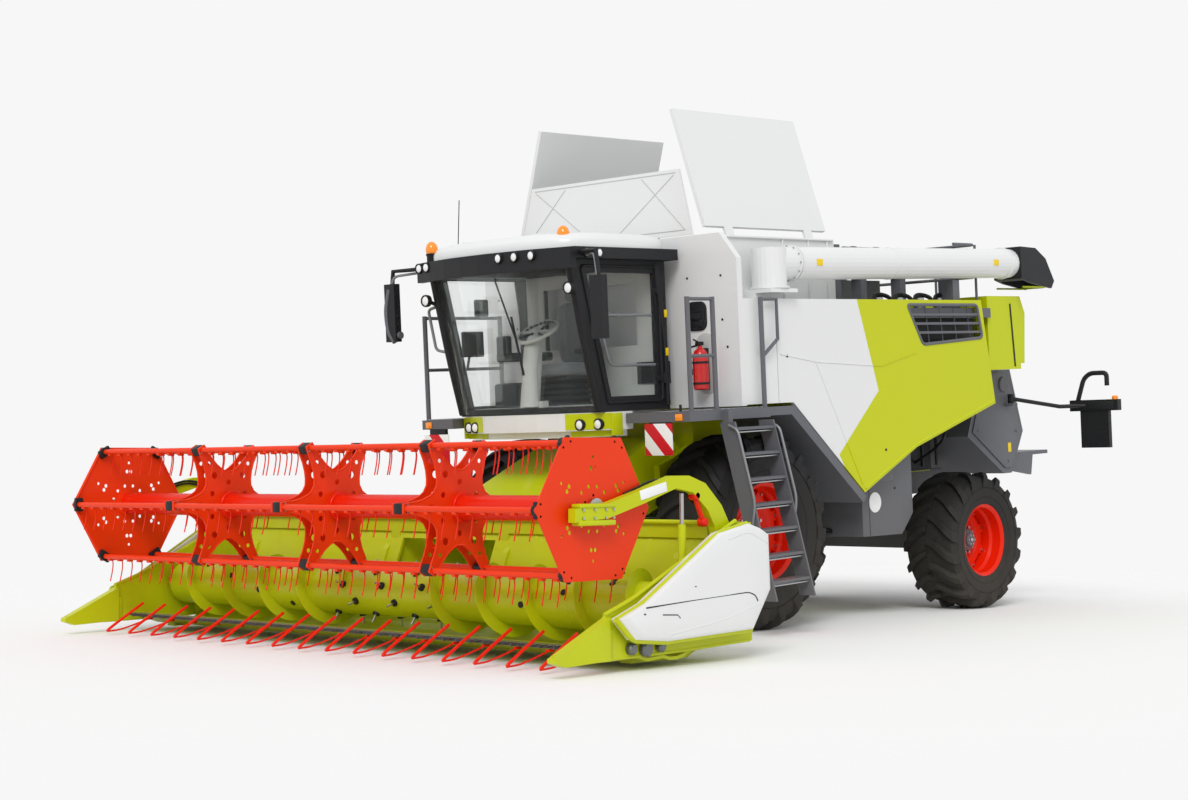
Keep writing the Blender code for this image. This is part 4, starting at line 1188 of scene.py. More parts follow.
# ------------------------------------------------------------------ reel
@dataclass
class Reel:
    """The pick-up reel: hub tube, spiders, six tine tubes and their spring tines.

    Args:
        centre: its axis's y and z.
        radius: how far from the axis the tine tubes run.
        half: half its width.
        spiders: the x of each spider.
        tines_each: how many places for tines each tube has.
        hub_radius: the hub tube's radius.
        bar_radius: a tine tube's radius.
        tine_radius: a tine's radius.
    """

    centre: tuple = (0.0, 1.193)
    radius: float = 0.556
    half: float = 2.985
    spiders: tuple = (-1.5, 0.0, 1.5)
    tines_each: int = 38
    hub_radius: float = 0.098
    bar_radius: float = 0.0235
    tine_radius: float = 0.0052

    def corners(self) -> list[tuple]:
        """The (y, z) of the six tine tubes, flat side up."""
        return ring_of(self.centre, self.radius, 6, 0)

    def tubes(self) -> None:
        """The hub tube with its joint flanges, and the six tine tubes."""
        hub = Shape()
        hub.tube([(-self.half, *self.centre), (self.half, *self.centre)], self.hub_radius, 32)
        for x in (-1.62, -1.38, -0.12, 0.12, 1.38, 1.62):
            hub.disc((x - 0.008, *self.centre), "X", 0.125, 0.016, 32)
        hub.piece("reel_hub_tube", RED, "reel", 35, ["reel"])
        bars = Shape()
        for y, z in self.corners():
            bars.tube([(-self.half, y, z), (self.half, y, z)], self.bar_radius, 14)
        bars.piece("reel_tine_tubes", ORANGE, "reel")

    def ends(self) -> None:
        """The hexagonal end plates with holes, folded edges and bearing blocks."""
        plates = Shape()
        blocks = Shape()
        bolts = Shape()
        hexagon = ring_of(self.centre, self.radius + 0.048, 6, 0)
        for side in (-1, 1):
            low = side * 2.989
            holes = [ring_of(self.centre, 0.07, 20)]
            for far, size, turn in ((0.17, 0.016, 15), (0.17, 0.016, 45), (0.30, 0.018, 26),
                                    (0.30, 0.018, 34), (0.38, 0.014, 30)):
                holes += [ring_of(spot, size, 10) for spot in ring_of(self.centre, far, 6, turn)]
            plates.prism(hexagon, "X", min(low, side * 2.999), max(low, side * 2.999), 0, holes)
            plates.disc((side * 2.975, *self.centre), "X", 0.125, side * 0.02, 32)
            fold = ring_of(self.centre, self.radius + 0.036, 6, 0)
            for (y1, z1), (y2, z2) in zip(fold, fold[1:] + fold[:1]):
                plates.tube([(side * 2.987, y1, z1), (side * 2.987, y2, z2)], 0.009, 8)
            blocks.disc((side * 2.96, *self.centre), "X", 0.062, side * 0.038, 24)
            for index, (y, z) in enumerate(self.corners()):
                turn = Matrix.Translation((side * 2.975, y, z))
                turn = turn @ Matrix.Rotation(math.radians(60 * index), 4, "X")
                blocks.block((-0.013, 0.023), (-0.045, 0.036), (-0.062, 0.062), 0.01, turn)
                blocks.disc((side * 2.95, y, z), "X", 0.042, side * 0.047, 18)
                for shift in (-0.044, 0.044):
                    place = turn @ Vector((0, -0.012, shift))
                    bolts.bolt((side * 2.99, place.y, place.z), "X", 0.010, side * 0.009)
            for y, z in ring_of(self.centre, 0.1, 6, 30):
                bolts.bolt((side * 2.99, y, z), "X", 0.011, side * 0.009)
        plates.piece("reel_end_plates", ORANGE, "reel")
        blocks.piece("reel_end_bearings", BLACK, "reel")
        bolts.piece("reel_end_bolts", STEEL, "reel")

    def star(self) -> list[tuple]:
        """The outline of a spider plate: six lobes with hollowed sides between them.

        Returns:
            The outline's (y, z) points.
        """
        made = []
        half = ((0.583, 3.4), (0.53, 4.6), (0.45, 6.2), (0.38, 10.0), (0.325, 16.5), (0.295, 24.0))
        for lobe in range(6):
            for radius, angle in half:
                made.append((lobe * 60 + angle, radius))
            for radius, angle in half[::-1]:
                made.append((lobe * 60 + 60 - angle, radius))
        return [
            (self.centre[0] + r * math.cos(math.radians(a)),
             self.centre[1] + r * math.sin(math.radians(a)))
            for a, r in made
        ]

    def arms(self) -> None:
        """Pairs of star plates with rolled edges, and bearing blocks for the tine tubes."""
        plates = Shape()
        blocks = Shape()
        bolts = Shape()
        holes = [ring_of(self.centre, 0.09, 24)]
        for far, size, turn in ((0.20, 0.024, 30), (0.30, 0.030, 0), (0.42, 0.018, 0)):
            holes += [ring_of(spot, size, 14) for spot in ring_of(self.centre, far, 6, turn)]
        outline = self.star()
        for x in self.spiders:
            for shift in (-0.062, 0.055):
                plates.prism(outline, "X", x + shift, x + shift + 0.007, 0, holes)
                rim = [(x + shift + 0.0035, y, z) for y, z in outline]
                plates.tube(rim + rim[:2], 0.008, 6)
            for y, z in ring_of(self.centre, 0.36, 6, 0):
                plates.tube([(x - 0.06, y, z), (x + 0.06, y, z)], 0.012, 8)
            for index, (y, z) in enumerate(self.corners()):
                turn = Matrix.Translation((x, y, z))
                turn = turn @ Matrix.Rotation(math.radians(60 * index), 4, "X")
                blocks.block((-0.048, 0.048), (-0.042, 0.034), (-0.042, 0.042), 0.012, turn)
                for spot in (-0.03, 0.03):
                    for out in (-0.062, 0.062):
                        place = turn @ Vector((out, -0.01, spot))
                        bolts.bolt(place, "X", 0.010, math.copysign(0.01, out))
        plates.piece("reel_spider_plates", ORANGE, "reel")
        blocks.piece("reel_spider_bearings", BLACK, "reel")
        bolts.piece("reel_spider_bolts", STEEL, "reel")

    def tines(self) -> None:
        """Curved tines that hang from coiled sockets along each tube."""
        tines = Shape()
        sockets = Shape()
        for y, z in self.corners():
            for index in range(self.tines_each):
                x = -self.half + 0.1 + (2 * self.half - 0.2) * index / (self.tines_each - 1)
                if any(abs(x - s) < 0.1 for s in self.spiders):
                    continue
                top = (x, y + 0.014, z - 0.014)
                path = smooth_path(
                    [top, (x, y + 0.036, z - 0.055), (x, y + 0.030, z - 0.13),
                     (x, y + 0.008, z - 0.225)], 3
                )
                tines.tube(path, self.tine_radius, 6)
                sockets.block(
                    (x - 0.022, x + 0.022), (y - 0.012, y + 0.034), (z - 0.04, z + 0.01), 0.007
                )
        tines.piece("reel_tines", RED, "reel")
        sockets.piece("reel_tine_sockets", ORANGE, "reel")

    def build(self) -> None:
        """Build the whole reel."""
        self.tubes()
        self.ends()
        self.arms()
        self.tines()


# ------------------------------------------------------------------ auger
@dataclass
class Auger:
    """The header's cross auger with thin flights and retracting fingers.

    Args:
        centre: its axis's y and z.
        half: half its width.
        tube: the drum's radius.
        flight: the flights' outer radius.
        gap_half: half the width of the fingers' part.
        pitch: how far a flight moves crop in one turn.
        finger_rows: how many rows of fingers there are.
    """

    centre: tuple = (0.72, 0.43)
    half: float = 3.085
    tube: float = 0.198
    flight: float = 0.298
    gap_half: float = 0.75
    pitch: float = 0.55
    finger_rows: int = 9

    def barrel(self) -> None:
        """The drum with its end caps and the seams round it."""
        drum = Shape()
        drum.tube([(-self.half, *self.centre), (self.half, *self.centre)], self.tube, 44)
        for x in (-2.2, -1.2, 1.2, 2.2):
            drum.turned([(x, self.tube), (x + 0.01, self.tube + 0.004), (x + 0.02, self.tube)],
                        (0, *self.centre), "X", 44, closed=True)
        drum.piece("auger_drum", LIME, "intake_auger", 35, ["intake_auger"])

    def flights(self) -> None:
        """Left- and right-hand ribbons that carry crop to the middle."""
        shape = Shape()
        for side in (-1, 1):
            start, end = self.gap_half * 0.62, self.half - 0.03
            turns = (end - start) / self.pitch
            count = int(turns * 30)
            rings = []
            for step in range(count + 1):
                t = step / count
                x = side * (start + (end - start) * t)
                angle = side * turns * 2 * math.pi * t + (0 if side > 0 else math.pi)
                grow = min(t * 14, 1.0)
                outer = self.tube + (self.flight - self.tube) * grow
                cy, cz = math.cos(angle), math.sin(angle)
                ring = []
                for radius, shift in (
                    (self.tube - 0.01, -0.003), (outer, -0.003), (outer, 0.003),
                    (self.tube - 0.01, 0.003),
                ):
                    ring.append(
                        (x + shift, self.centre[0] + radius * cy, self.centre[1] + radius * cz)
                    )
                rings.append(ring)
            shape.loft(rings)
        shape.piece("auger_flights", LIME, "intake_auger", 50)

    def fingers(self) -> None:
        """Finger bushes and fingers set round the middle of the drum."""
        bushes = Shape()
        rods = Shape()
        for row in range(self.finger_rows):
            x = -0.68 + 0.17 * row
            for index in range(3):
                angle = 2 * math.pi * (index / 3 + row * 0.11)
                way = Vector((0, math.cos(angle), math.sin(angle)))
                foot = Vector((x, *self.centre)) + way * (self.tube - 0.004)
                bushes.tube([foot, foot + way * 0.02], 0.032, 14)
                rods.tube([foot, foot + way * 0.094], 0.009, 8)
        for side in (-1, 1):
            for index in range(14):
                x = side * (0.95 + 0.15 * index)
                angle = index * 1.9
                way = Vector((0, math.cos(angle), math.sin(angle)))
                foot = Vector((x, *self.centre)) + way * (self.tube - 0.004)
                bushes.tube([foot, foot + way * 0.012], 0.026, 14)
        bushes.piece("auger_finger_bushes", BLACK, "intake_auger")
        rods.piece("auger_fingers", STEEL, "intake_auger")

    def build(self) -> None:
        """Build the drum, its flights and its fingers."""
        self.barrel()
        self.flights()
        self.fingers()


# ------------------------------------------------------------------ header
@dataclass
class Header:
    """What is fixed to the cutting table: knife, lifters, dividers, braces and covers.

    Args:
        guard_spots: how many knife guards there are.
        lifters: how many crop lifters there are.
        half: half the knife's width.
        lifter_half: how far from the middle the outermost lifter stands.
        wall_x: the middle of an end wall.
        seam_x: the face on which an end cover's seams lie.
        arm_x: the middle of a reel arm.
    """

    guard_spots: int = 80
    lifters: int = 17
    half: float = 3.06
    lifter_half: float = 2.80
    wall_x: float = 3.15
    seam_x: float = 3.2935
    arm_x: float = 3.07

    def knife(self) -> None:
        """Pointed knife guards along the cutter bar, and the toothed knife between them."""
        guards = Shape()
        for index in range(self.guard_spots):
            x = -self.half + 2 * self.half * index / (self.guard_spots - 1)
            rings = []
            for y, half, low, high in (
                (0.12, 0.014, 0.142, 0.168), (0.08, 0.011, 0.142, 0.166),
                (0.035, 0.003, 0.150, 0.156),
            ):
                rings.append([(x - half, y, low), (x + half, y, low),
                              (x + half, y, high), (x - half, y, high)])
            guards.loft(rings)
        guards.piece("knife_guards", CAST, "header")
        teeth = Shape()
        for index in range(self.guard_spots - 1):
            x = -self.half + 2 * self.half * (index + 0.5) / (self.guard_spots - 1)
            teeth.prism([(x - 0.034, 0.13), (x + 0.034, 0.13), (x + 0.008, 0.062),
                         (x - 0.008, 0.062)], "Z", 0.166, 0.169)
        teeth.piece("knife_sections", STEEL, "header")

    def crop_lifters(self) -> None:
        """Sprung V lifters: a flat runner, a curved rod back from its tip and a clip."""
        runners = Shape()
        for index in range(self.lifters):
            x = self.lifter_half * (2 * index / (self.lifters - 1) - 1)
            tip = (x, -0.36, 0.035)
            low = [(x, 0.10, 0.128), (x, -0.05, 0.085), (x, -0.22, 0.045), tip]
            runners.tube(smooth_path(low, 4), 0.008, 8)
            bar = [tip, (x, -0.33, 0.062), (x, -0.16, 0.165), (x, 0.03, 0.275)]
            runners.tube(smooth_path(bar, 4), 0.013, 8, 0.6)
            runners.block((x - 0.018, x + 0.018), (0.06, 0.125), (0.116, 0.134), 0.004)
        runners.piece("crop_lifters", RED, "header")

    def dividers(self) -> None:
        """Divider noses, their edge bars and the lime edging of both end walls."""
        lime = Shape()
        for side in (-1, 1):
            x = side * self.wall_x
            nose = [(x, -0.10, 0.30), (x, -0.35, 0.19), (x, -0.572, 0.145)]
            lime.tube(smooth_path(nose, 5), 0.026, 12)
            chin = [(x, -0.55, 0.142), (x, -0.3, 0.115), (x, 0.0, 0.11)]
            lime.tube(smooth_path(chin, 4), 0.022, 10)
            edge = [(x, -0.05, 0.43), (x, 0.25, 0.53), (x, 1.44, 1.075)]
            lime.tube(rounded_path(edge, 0.08), 0.018, 10)
            foot = [(x, -0.05, 0.105), (x, 0.8, 0.118), (x, 1.6, 0.145)]
            lime.tube(foot, 0.016, 8)
            lime.block(sorted((side * 3.12, side * 3.172)), (-0.12, 0.02), (0.11, 0.33), 0.014)
        lime.piece("crop_divider_noses", LIME, "header")

    def back(self) -> None:
        """Braces, pressings and brackets on the table's back wall, and the floor's edging."""
        braces = Shape()
        for index in range(14):
            x = -2.8 + 5.6 * index / 13
            if abs(x) < 0.62:
                continue
            braces.prism([(1.22, 0.66), (1.25, 0.66), (1.37, 0.97), (1.33, 0.97)], "X",
                         x - 0.03, x + 0.03, 0.004)
        braces.tube([(-2.98, 1.29, 1.062), (2.98, 1.29, 1.062)], 0.02, 12)
        braces.piece("header_back_pressings", LIME, "header")
        strips = Shape()
        for side in (-1, 1):
            for x in (0.85, 1.5, 2.2, 2.85):
                strips.block(sorted((side * (x - 0.03), side * (x + 0.03))), (1.28, 1.43),
                             (1.055, 1.07), 0.004)
            strips.tube(
                rounded_path([(side * 0.74, 1.45, 0.86), (side * 1.6, 1.47, 0.80),
                              (side * 3.0, 1.46, 0.84)], 0.1), 0.016, 8)
        strips.piece("header_hose_clips", BLACK, "header")
        toothed = Shape()
        for side in (-1, 1):
            toothed.tube([(side * 0.8, 0.225, 0.156), (side * 3.1, 0.225, 0.156)], 0.007, 6)
        # The floor's edging is in the darker lime, with painted shade.
        toothed.piece("header_floor_edge", LIME_PAINTED_SHADE, "header")

    def covers(self) -> None:
        """Crown, seam and catch of both end covers, and their lime lower edging."""
        outline = [(-0.03, 0.40), (0.14, 0.24), (0.50, 0.205), (1.50, 0.235), (1.72, 0.54),
                   (1.70, 0.97), (1.60, 1.02), (1.46, 1.06), (1.10, 0.99), (0.25, 0.50)]
        middle = (1.05, 0.58)
        for name, side in SIDES.items():
            shell = Shape()
            rings = []
            for x, share in ((3.192, 1.0), (3.25, 1.0), (3.275, 0.985), (3.288, 0.955),
                             (3.2945, 0.90), (3.2975, 0.55), (3.2985, 0.2)):
                rings.append([(side * x, middle[0] + (y - middle[0]) * share,
                               middle[1] + (z - middle[1]) * share) for y, z in outline])
            shell.loft(rings)
            shell.piece(f"header_cover_shell_{name}", WHITE, "header", 30, [f"header_cover_{name}"])
            seams = Shape()
            x = side * self.seam_x
            seam = [(x, 0.24, 0.470), (x, 0.8, 0.50), (x, 1.42, 0.528), (x, 1.50, 0.50),
                    (x, 1.53, 0.455)]
            seams.tube(rounded_path(seam, 0.05), 0.0064, 6)
            seams.tube([(x, 0.42, 0.41), (x, 0.585, 0.40), (x, 0.615, 0.375)], 0.0062, 6)
            seams.tube([(x, 0.215, 0.425), (x, 0.235, 0.425)], 0.0064, 6)
            seams.tube([(x, 0.782, 0.60), (x, 0.80, 0.60)], 0.0064, 6)
            seams.piece(f"header_cover_seams_{name}", BLACK, "header")
            crease = Shape()
            crease.tube(smooth_path([(x, 0.50, 0.262), (x, 1.1, 0.335), (x, 1.56, 0.44)], 6),
                        0.0062, 6)
            crease.tube(smooth_path([(x, 1.18, 0.94), (x, 1.42, 0.985), (x, 1.66, 0.90)], 6),
                        0.0062, 6)
            crease.piece(f"header_cover_creases_{name}", WHITE, "header")
            trim = Shape()
            points = [(side * 3.245, y, z) for y, z in outline]
            trim.tube(rounded_path([points[0], points[1], points[2], points[3]], 0.07), 0.024, 10)
            trim.tube(rounded_path([points[0], points[9], points[8], points[7]], 0.1), 0.014, 10)
            trim.piece(f"header_cover_trim_{name}", LIME, "header")
            works = Shape()
            for y, z, size in ((0.20, 0.17, 0.045), (0.36, 0.16, 0.06), (0.52, 0.165, 0.04)):
                works.disc((side * 3.165, y, z), "X", size, side * 0.05, 20)
            works.piece(f"divider_drive_parts_{name}", CAST, "header")

    def reel_arms(self) -> None:
        """Sleeves, reflectors, props and hoses on the reel arms."""
        for name, side in SIDES.items():
            x = side * self.arm_x
            sleeve = Shape()
            for z in ((1.075, 1.115), (1.205, 1.235)):
                sleeve.block((x - 0.046, x + 0.046), (-0.26, 0.12), z, 0.01)
            sleeve.piece(f"reel_arm_sleeve_{name}", LIME, "reel_arms")
            bolts = Shape()
            for y in (-0.22, -0.1, 0.02, 0.1):
                for z in (1.13, 1.19):
                    bolts.bolt((x + side * 0.034, y, z), "X", 0.011, side * 0.012)
            bolts.disc((x - side * 0.036, 0, 1.193), "X", 0.08, -side * 0.03, 24)
            bolts.piece(f"reel_arm_bolts_{name}", STEEL, "reel_arms")
            sheet = Shape()
            slope = Matrix.Translation((x, 0.54, 1.318)) @ Matrix.Rotation(0.22, 4, "X")
            sheet.block(sorted((side * 0.034, side * 0.040)), (-0.15, 0.15), (-0.036, 0.036),
                        0.001, slope)
            sheet.piece(f"reel_arm_reflector_{name}", BLANK_WHITE, "reel_arms")
            prop = Shape()
            prop.tube([(x, 1.05, 1.275), (x, 1.15, 1.07)], 0.02, 10)
            for y, z in ((1.05, 1.275), (1.15, 1.07)):
                prop.disc((x - side * 0.035, y, z), "X", 0.035, side * 0.07, 16)
            prop.piece(f"reel_arm_prop_{name}", RED, "reel_arms")
            hose = Shape()
            inner = x - side * 0.045
            path = smooth_path([(inner, 0.30, 1.30), (inner, 0.70, 1.40), (inner, 1.05, 1.27),
                                (inner, 1.30, 1.06)], 6)
            hose.tube(path, 0.009, 8)
            hose.tube([p - Vector((0, 0, 0.026)) for p in path], 0.009, 8)
            hose.piece(f"reel_arm_hoses_{name}", HOSE, "reel_arms")

    def build(self) -> None:
        """Build every part of the header's trim."""
        self.knife()
        self.crop_lifters()
        self.dividers()
        self.back()
        self.covers()
        self.reel_arms()



# ------------------------------------------------------------------ feeder
@dataclass
class Feeder:
    """Trim on the feeder house: stiffening ribs, lift hoses and drive covers.

    Args:
        half: half the house's width.
        rib_radius: how far a long rib stands out.
        hose_radius: a hose's radius.
    """

    half: float = 0.70
    rib_radius: float = 0.013
    hose_radius: float = 0.011

    def build(self) -> None:
        """Build the ribs, hoses and the drive guard."""
        ribs = Shape()
        for x in (-0.45, -0.15, 0.15, 0.45):
            ribs.tube([(x, 1.66, 0.985), (x, 3.05, 1.62)], self.rib_radius, 8)
        for t in (0.12, 0.5, 0.88):
            y, z = 1.66 + 1.4 * t, 0.985 + 0.64 * t
            ribs.tube([(-self.half + 0.02, y, z), (self.half - 0.02, y, z)], 0.011, 8)
        ribs.piece("feeder_top_ribs", LIME, "header")
        guard = Shape()
        for side in (-1, 1):
            outline = [(1.95, 0.62), (2.15, 0.50), (2.95, 0.98), (2.98, 1.20), (2.80, 1.22),
                       (2.0, 0.80)]
            guard.prism(outline, "X", *sorted((side * 0.702, side * 0.745)), 0.014)
        # The drive guards are in the darker lime, with painted shade.
        guard.piece("feeder_drive_guards", LIME_PAINTED_SHADE, "header")
        hoses = Shape()
        for shift in (0.0, 0.035, 0.07):
            path = [(0.78, 1.50, 0.90 + shift), (0.80, 1.80, 0.84 + shift),
                (0.79, 2.3, 0.98 + shift), (0.775, 2.9, 1.26 + shift)]
            hoses.tube(smooth_path(path, 6), self.hose_radius, 8)
        hoses.piece("feeder_hoses", HOSE, "header")


# ------------------------------------------------------------------ cab
@dataclass
class Cab:
    """The cab's lamps, mirrors, pillars, roof dome, controls and trim.

    Args:
        roof_half: half the roof's width.
        roof_reach: half the roof's length.
        roof_middle: the y of the roof's middle.
        roof_corner: how square the roof's corners are, 1 for round and 0 for square.
        side_x: the outer face of the side glass and the door.
        front_y: where lines start that look for the cab's front.
        wheel_radius: the steering wheel's radius.
        rail_radius: a grab rail's radius.
    """

    roof_half: float = 0.985
    roof_reach: float = 0.70
    roof_middle: float = 2.70
    roof_corner: float = 0.36
    side_x: float = 0.905
    front_y: float = 0.5
    wheel_radius: float = 0.198
    rail_radius: float = 0.013

    def dome(self) -> None:
        """The crowned roof shell over the visor."""
        shape = Shape(Datum.CHASSIS)
        rings = []
        for z, grow in ((3.522, -0.004), (3.58, -0.004), (3.625, -0.03), (3.655, -0.10),
                        (3.672, -0.22), (3.678, -0.42)):
            ring = []
            for step in range(48):
                angle = 2 * math.pi * step / 48
                cx, cy = math.cos(angle), math.sin(angle)
                x = math.copysign(abs(cx) ** self.roof_corner, cx) * (self.roof_half + grow)
                y = math.copysign(abs(cy) ** self.roof_corner, cy) * (self.roof_reach + grow)
                bulge = -0.14 * (1 - (x / self.roof_half) ** 2) if y < 0 else 0
                ring.append((x, self.roof_middle + y + bulge * (1 + grow), z))
            rings.append(ring)
        shape.loft(rings)
        shape.piece("cab_roof_dome", WHITE, "chassis", 40, ["cab_roof"])
        seam = Shape(Datum.CHASSIS)
        for x in (-0.45, 0.45):
            seam.tube([(x, 2.05, 3.66), (x, 2.3, 3.675), (x, 3.2, 3.672)], 0.012, 8)
        seam.piece("cab_roof_ridges", WHITE, "chassis")

    def lamp(
        self, shell: Shape, lens: Shape, spot: Point, axis: str, radius: float, way: int
    ) -> None:
        """One round work lamp: a dark bowl with a bright ring, and a crowned lens.

        Args:
            shell: the shape that takes the bowl.
            lens: the shape that takes the lens.
            spot: the middle of its back.
            axis: the axis that it looks along.
            radius: its radius.
            way: 1 to look up the axis, -1 to look down it.
        """
        bowl = [(0, radius), (0.03 * way, radius * 1.06), (0.045 * way, radius),
                (0.045 * way, radius * 0.86), (0.036 * way, radius * 0.84)]
        shell.turned(bowl + [(0.036 * way, 0)], spot, axis, 28)
        glass = [(0.035 * way, radius * 0.83), (0.043 * way, radius * 0.6), (0.047 * way, 0)]
        lens.turned([(0.03 * way, 0), (0.03 * way, radius * 0.83)] + glass, spot, axis, 28)

    def lamps(self) -> None:
        """Round lamps in the visor, on the pillars and in the fascia, and the beacons."""
        shell = Shape(Datum.CHASSIS)
        lens = Shape(Datum.CHASSIS)
        for x in (0.26, 0.44, 0.62, -0.80, -0.94):
            spot = touch("cab_visor", Datum.CHASSIS, (x, self.front_y, 3.462), (0, 1, 0))
            self.lamp(shell, lens, (x, spot.y + 0.022, 3.462), "Y", 0.046, -1)
        for side in (-1, 1):
            for y in (2.16, 2.32):
                spot = touch("cab_visor", Datum.CHASSIS, (side * 2.5, y, 3.468), (-side, 0, 0))
                self.lamp(shell, lens, (spot.x - side * 0.022, y, 3.468), "X", 0.042, side)
            self.lamp(shell, lens, (side * 0.93, 2.02, 3.16), "Y", 0.055, -1)
            shell.tube([(side * 0.93, 2.02, 3.16), (side * 0.90, 2.10, 3.12)], 0.018, 8)
        for side in (-1, 1):
            for x in (0.84, 0.68):
                start = (side * x, self.front_y, 1.955)
                spot = touch("front_panel", Datum.CHASSIS, start, (0, 1, 0))
                self.lamp(shell, lens, (side * x, spot.y + 0.018, 1.955), "Y", 0.050, -1)
        shell.piece("cab_lamp_bowls", BLACK, "chassis")
        lens.piece("cab_lamp_lenses", LAMP, "chassis")
        corners = Shape(Datum.CHASSIS)
        for side in (-1, 1):
            columns = [side * (0.54 + 0.415 * step / 12) for step in range(13)]
            rows = [1.846 + 0.208 * step / 16 for step in range(17)]
            corners.skin("front_panel", columns, rows, 0.006)
            corners.block(sorted((side * 0.952, side * 0.966)), (2.44, 2.58), (1.85, 2.05), 0.004)
        corners.piece("fascia_lime_corners", LIME, "chassis", 50)
        beacons = Shape(Datum.CHASSIS)
        feet = Shape(Datum.CHASSIS)
        for x in (0.77, -0.96):
            feet.turned([(0, 0.05), (0.06, 0.05), (0.08, 0.06), (0.09, 0.05), (0.09, 0)],
                        (x, 2.12, 3.52), "Z", 24)
            beacons.turned(
                [(0.085, 0), (0.085, 0.050), (0.10, 0.058), (0.14, 0.058), (0.175, 0.046),
                 (0.198, 0.022), (0.202, 0)],
                (x, 2.12, 3.52), "Z", 28,
            )
        beacons.piece("cab_beacons", AMBER, "chassis")
        feet.tube([(-0.92, 2.42, 3.56), (-0.92, 2.42, 3.66)], 0.018, 10)
        feet.tube([(-0.92, 2.42, 3.66), (-0.92, 2.46, 4.12)], 0.0045, 6)
        feet.piece("cab_beacon_feet", BLACK, "chassis")

    def mirrors(self) -> None:
        """Mirror housings, their glass faces and their bent arms."""
        frames = Shape(Datum.CHASSIS)
        faces = Shape(Datum.CHASSIS)
        left = ring_corners(1.21, 1.33, 2.72, 3.23, 0.05)
        frames.prism(left, "Y", 1.982, 2.042, 0.014)
        faces.prism(ring_corners(1.222, 1.318, 2.74, 3.21, 0.04), "Y", 2.042, 2.047, 0)
        frames.block((-1.50, -1.37), (1.985, 2.03), (3.07, 3.20), 0.012)
        faces.block((-1.49, -1.38), (2.03, 2.035), (3.08, 3.19), 0.002)
        curved = smooth_path([(-1.40, 2.0, 2.80), (-1.47, 1.995, 2.9), (-1.49, 1.99, 3.1),
                              (-1.44, 1.995, 3.30)], 5)
        frames.tube(curved, 0.028, 12)
        frames.tube([(-1.42, 2.02, 2.86), (-1.34, 2.03, 2.86)], 0.035, 14)
        frames.piece("mirror_housings", GREY, "chassis")
        faces.piece("mirror_faces", STEEL, "chassis")
        arms = Shape(Datum.CHASSIS)
        for arm in (
            [(0.98, 2.16, 3.45), (1.24, 2.01, 3.44), (1.27, 2.01, 3.2)],
            [(-0.98, 2.16, 3.45), (-1.40, 2.01, 3.42), (-1.43, 2.0, 3.28)],
        ):
            arms.tube(rounded_path(arm, 0.06), self.rail_radius, 10)
        arms.piece("mirror_arms", RAIL, "chassis")

    def pillars(self) -> None:
        """Rubber glass seals, pillar trim, wiper and handrail loops."""
        seals = Shape(Datum.CHASSIS)
        for side in (-1, 1):
            x = side * self.side_x
            loop = [(x, 2.47, 2.14), (x, 3.20, 2.14), (x, 3.20, 3.36), (x, 2.185, 3.36)]
            seals.tube(rounded_path(loop + [loop[0]], 0.05), 0.014, 8)
            post = [(side * 0.885, 2.36, 2.08), (side * 0.885, 2.22, 2.62),
                (side * 0.885, 2.06, 3.34)]
            seals.tube(smooth_path(post, 5), 0.034, 12)
            back = [(x, 3.265, 2.1), (x, 3.25, 2.7), (x, 3.16, 3.38)]
            seals.tube(smooth_path(back, 5), 0.026, 10)
        seals.piece("cab_pillar_trim", BLACK, "chassis")
        labels = Shape(Datum.CHASSIS)
        for z in ((2.9, 2.97), (2.55, 2.62)):
            labels.block((0.925, 0.933), (3.24, 3.275), z, 0.001)
        labels.piece("cab_blank_labels", BLANK_YELLOW, "chassis")
        rails = Shape(Datum.CHASSIS)
        loop = [(-0.925, 2.20, 2.68), (-1.0, 2.16, 2.70), (-1.0, 2.08, 3.08), (-0.925, 2.10, 3.10)]
        rails.tube(rounded_path(loop, 0.04), 0.014, 10)
        rails.piece("cab_handrails", RAIL, "chassis")
        grab = Shape(Datum.CHASSIS)
        loop = [(self.side_x, 3.10, 2.47), (0.95, 3.06, 2.47), (0.95, 2.46, 2.47),
            (0.95, 2.33, 2.92), (0.95, 3.02, 2.92), (self.side_x, 3.08, 2.92)]
        grab.tube(rounded_path(loop, 0.07), self.rail_radius, 10)
        grab.piece("cab_door_grab_rail", RAIL, "cab_door")
        wiper = Shape(Datum.CHASSIS)
        wiper.tube([(0.0, 1.99, 3.31), (0.22, 2.03, 2.72)], 0.008, 8)
        wiper.tube([(0.14, 2.05, 2.95), (0.26, 2.06, 2.42)], 0.011, 8)
        wiper.piece("cab_wiper", BLACK, "chassis")

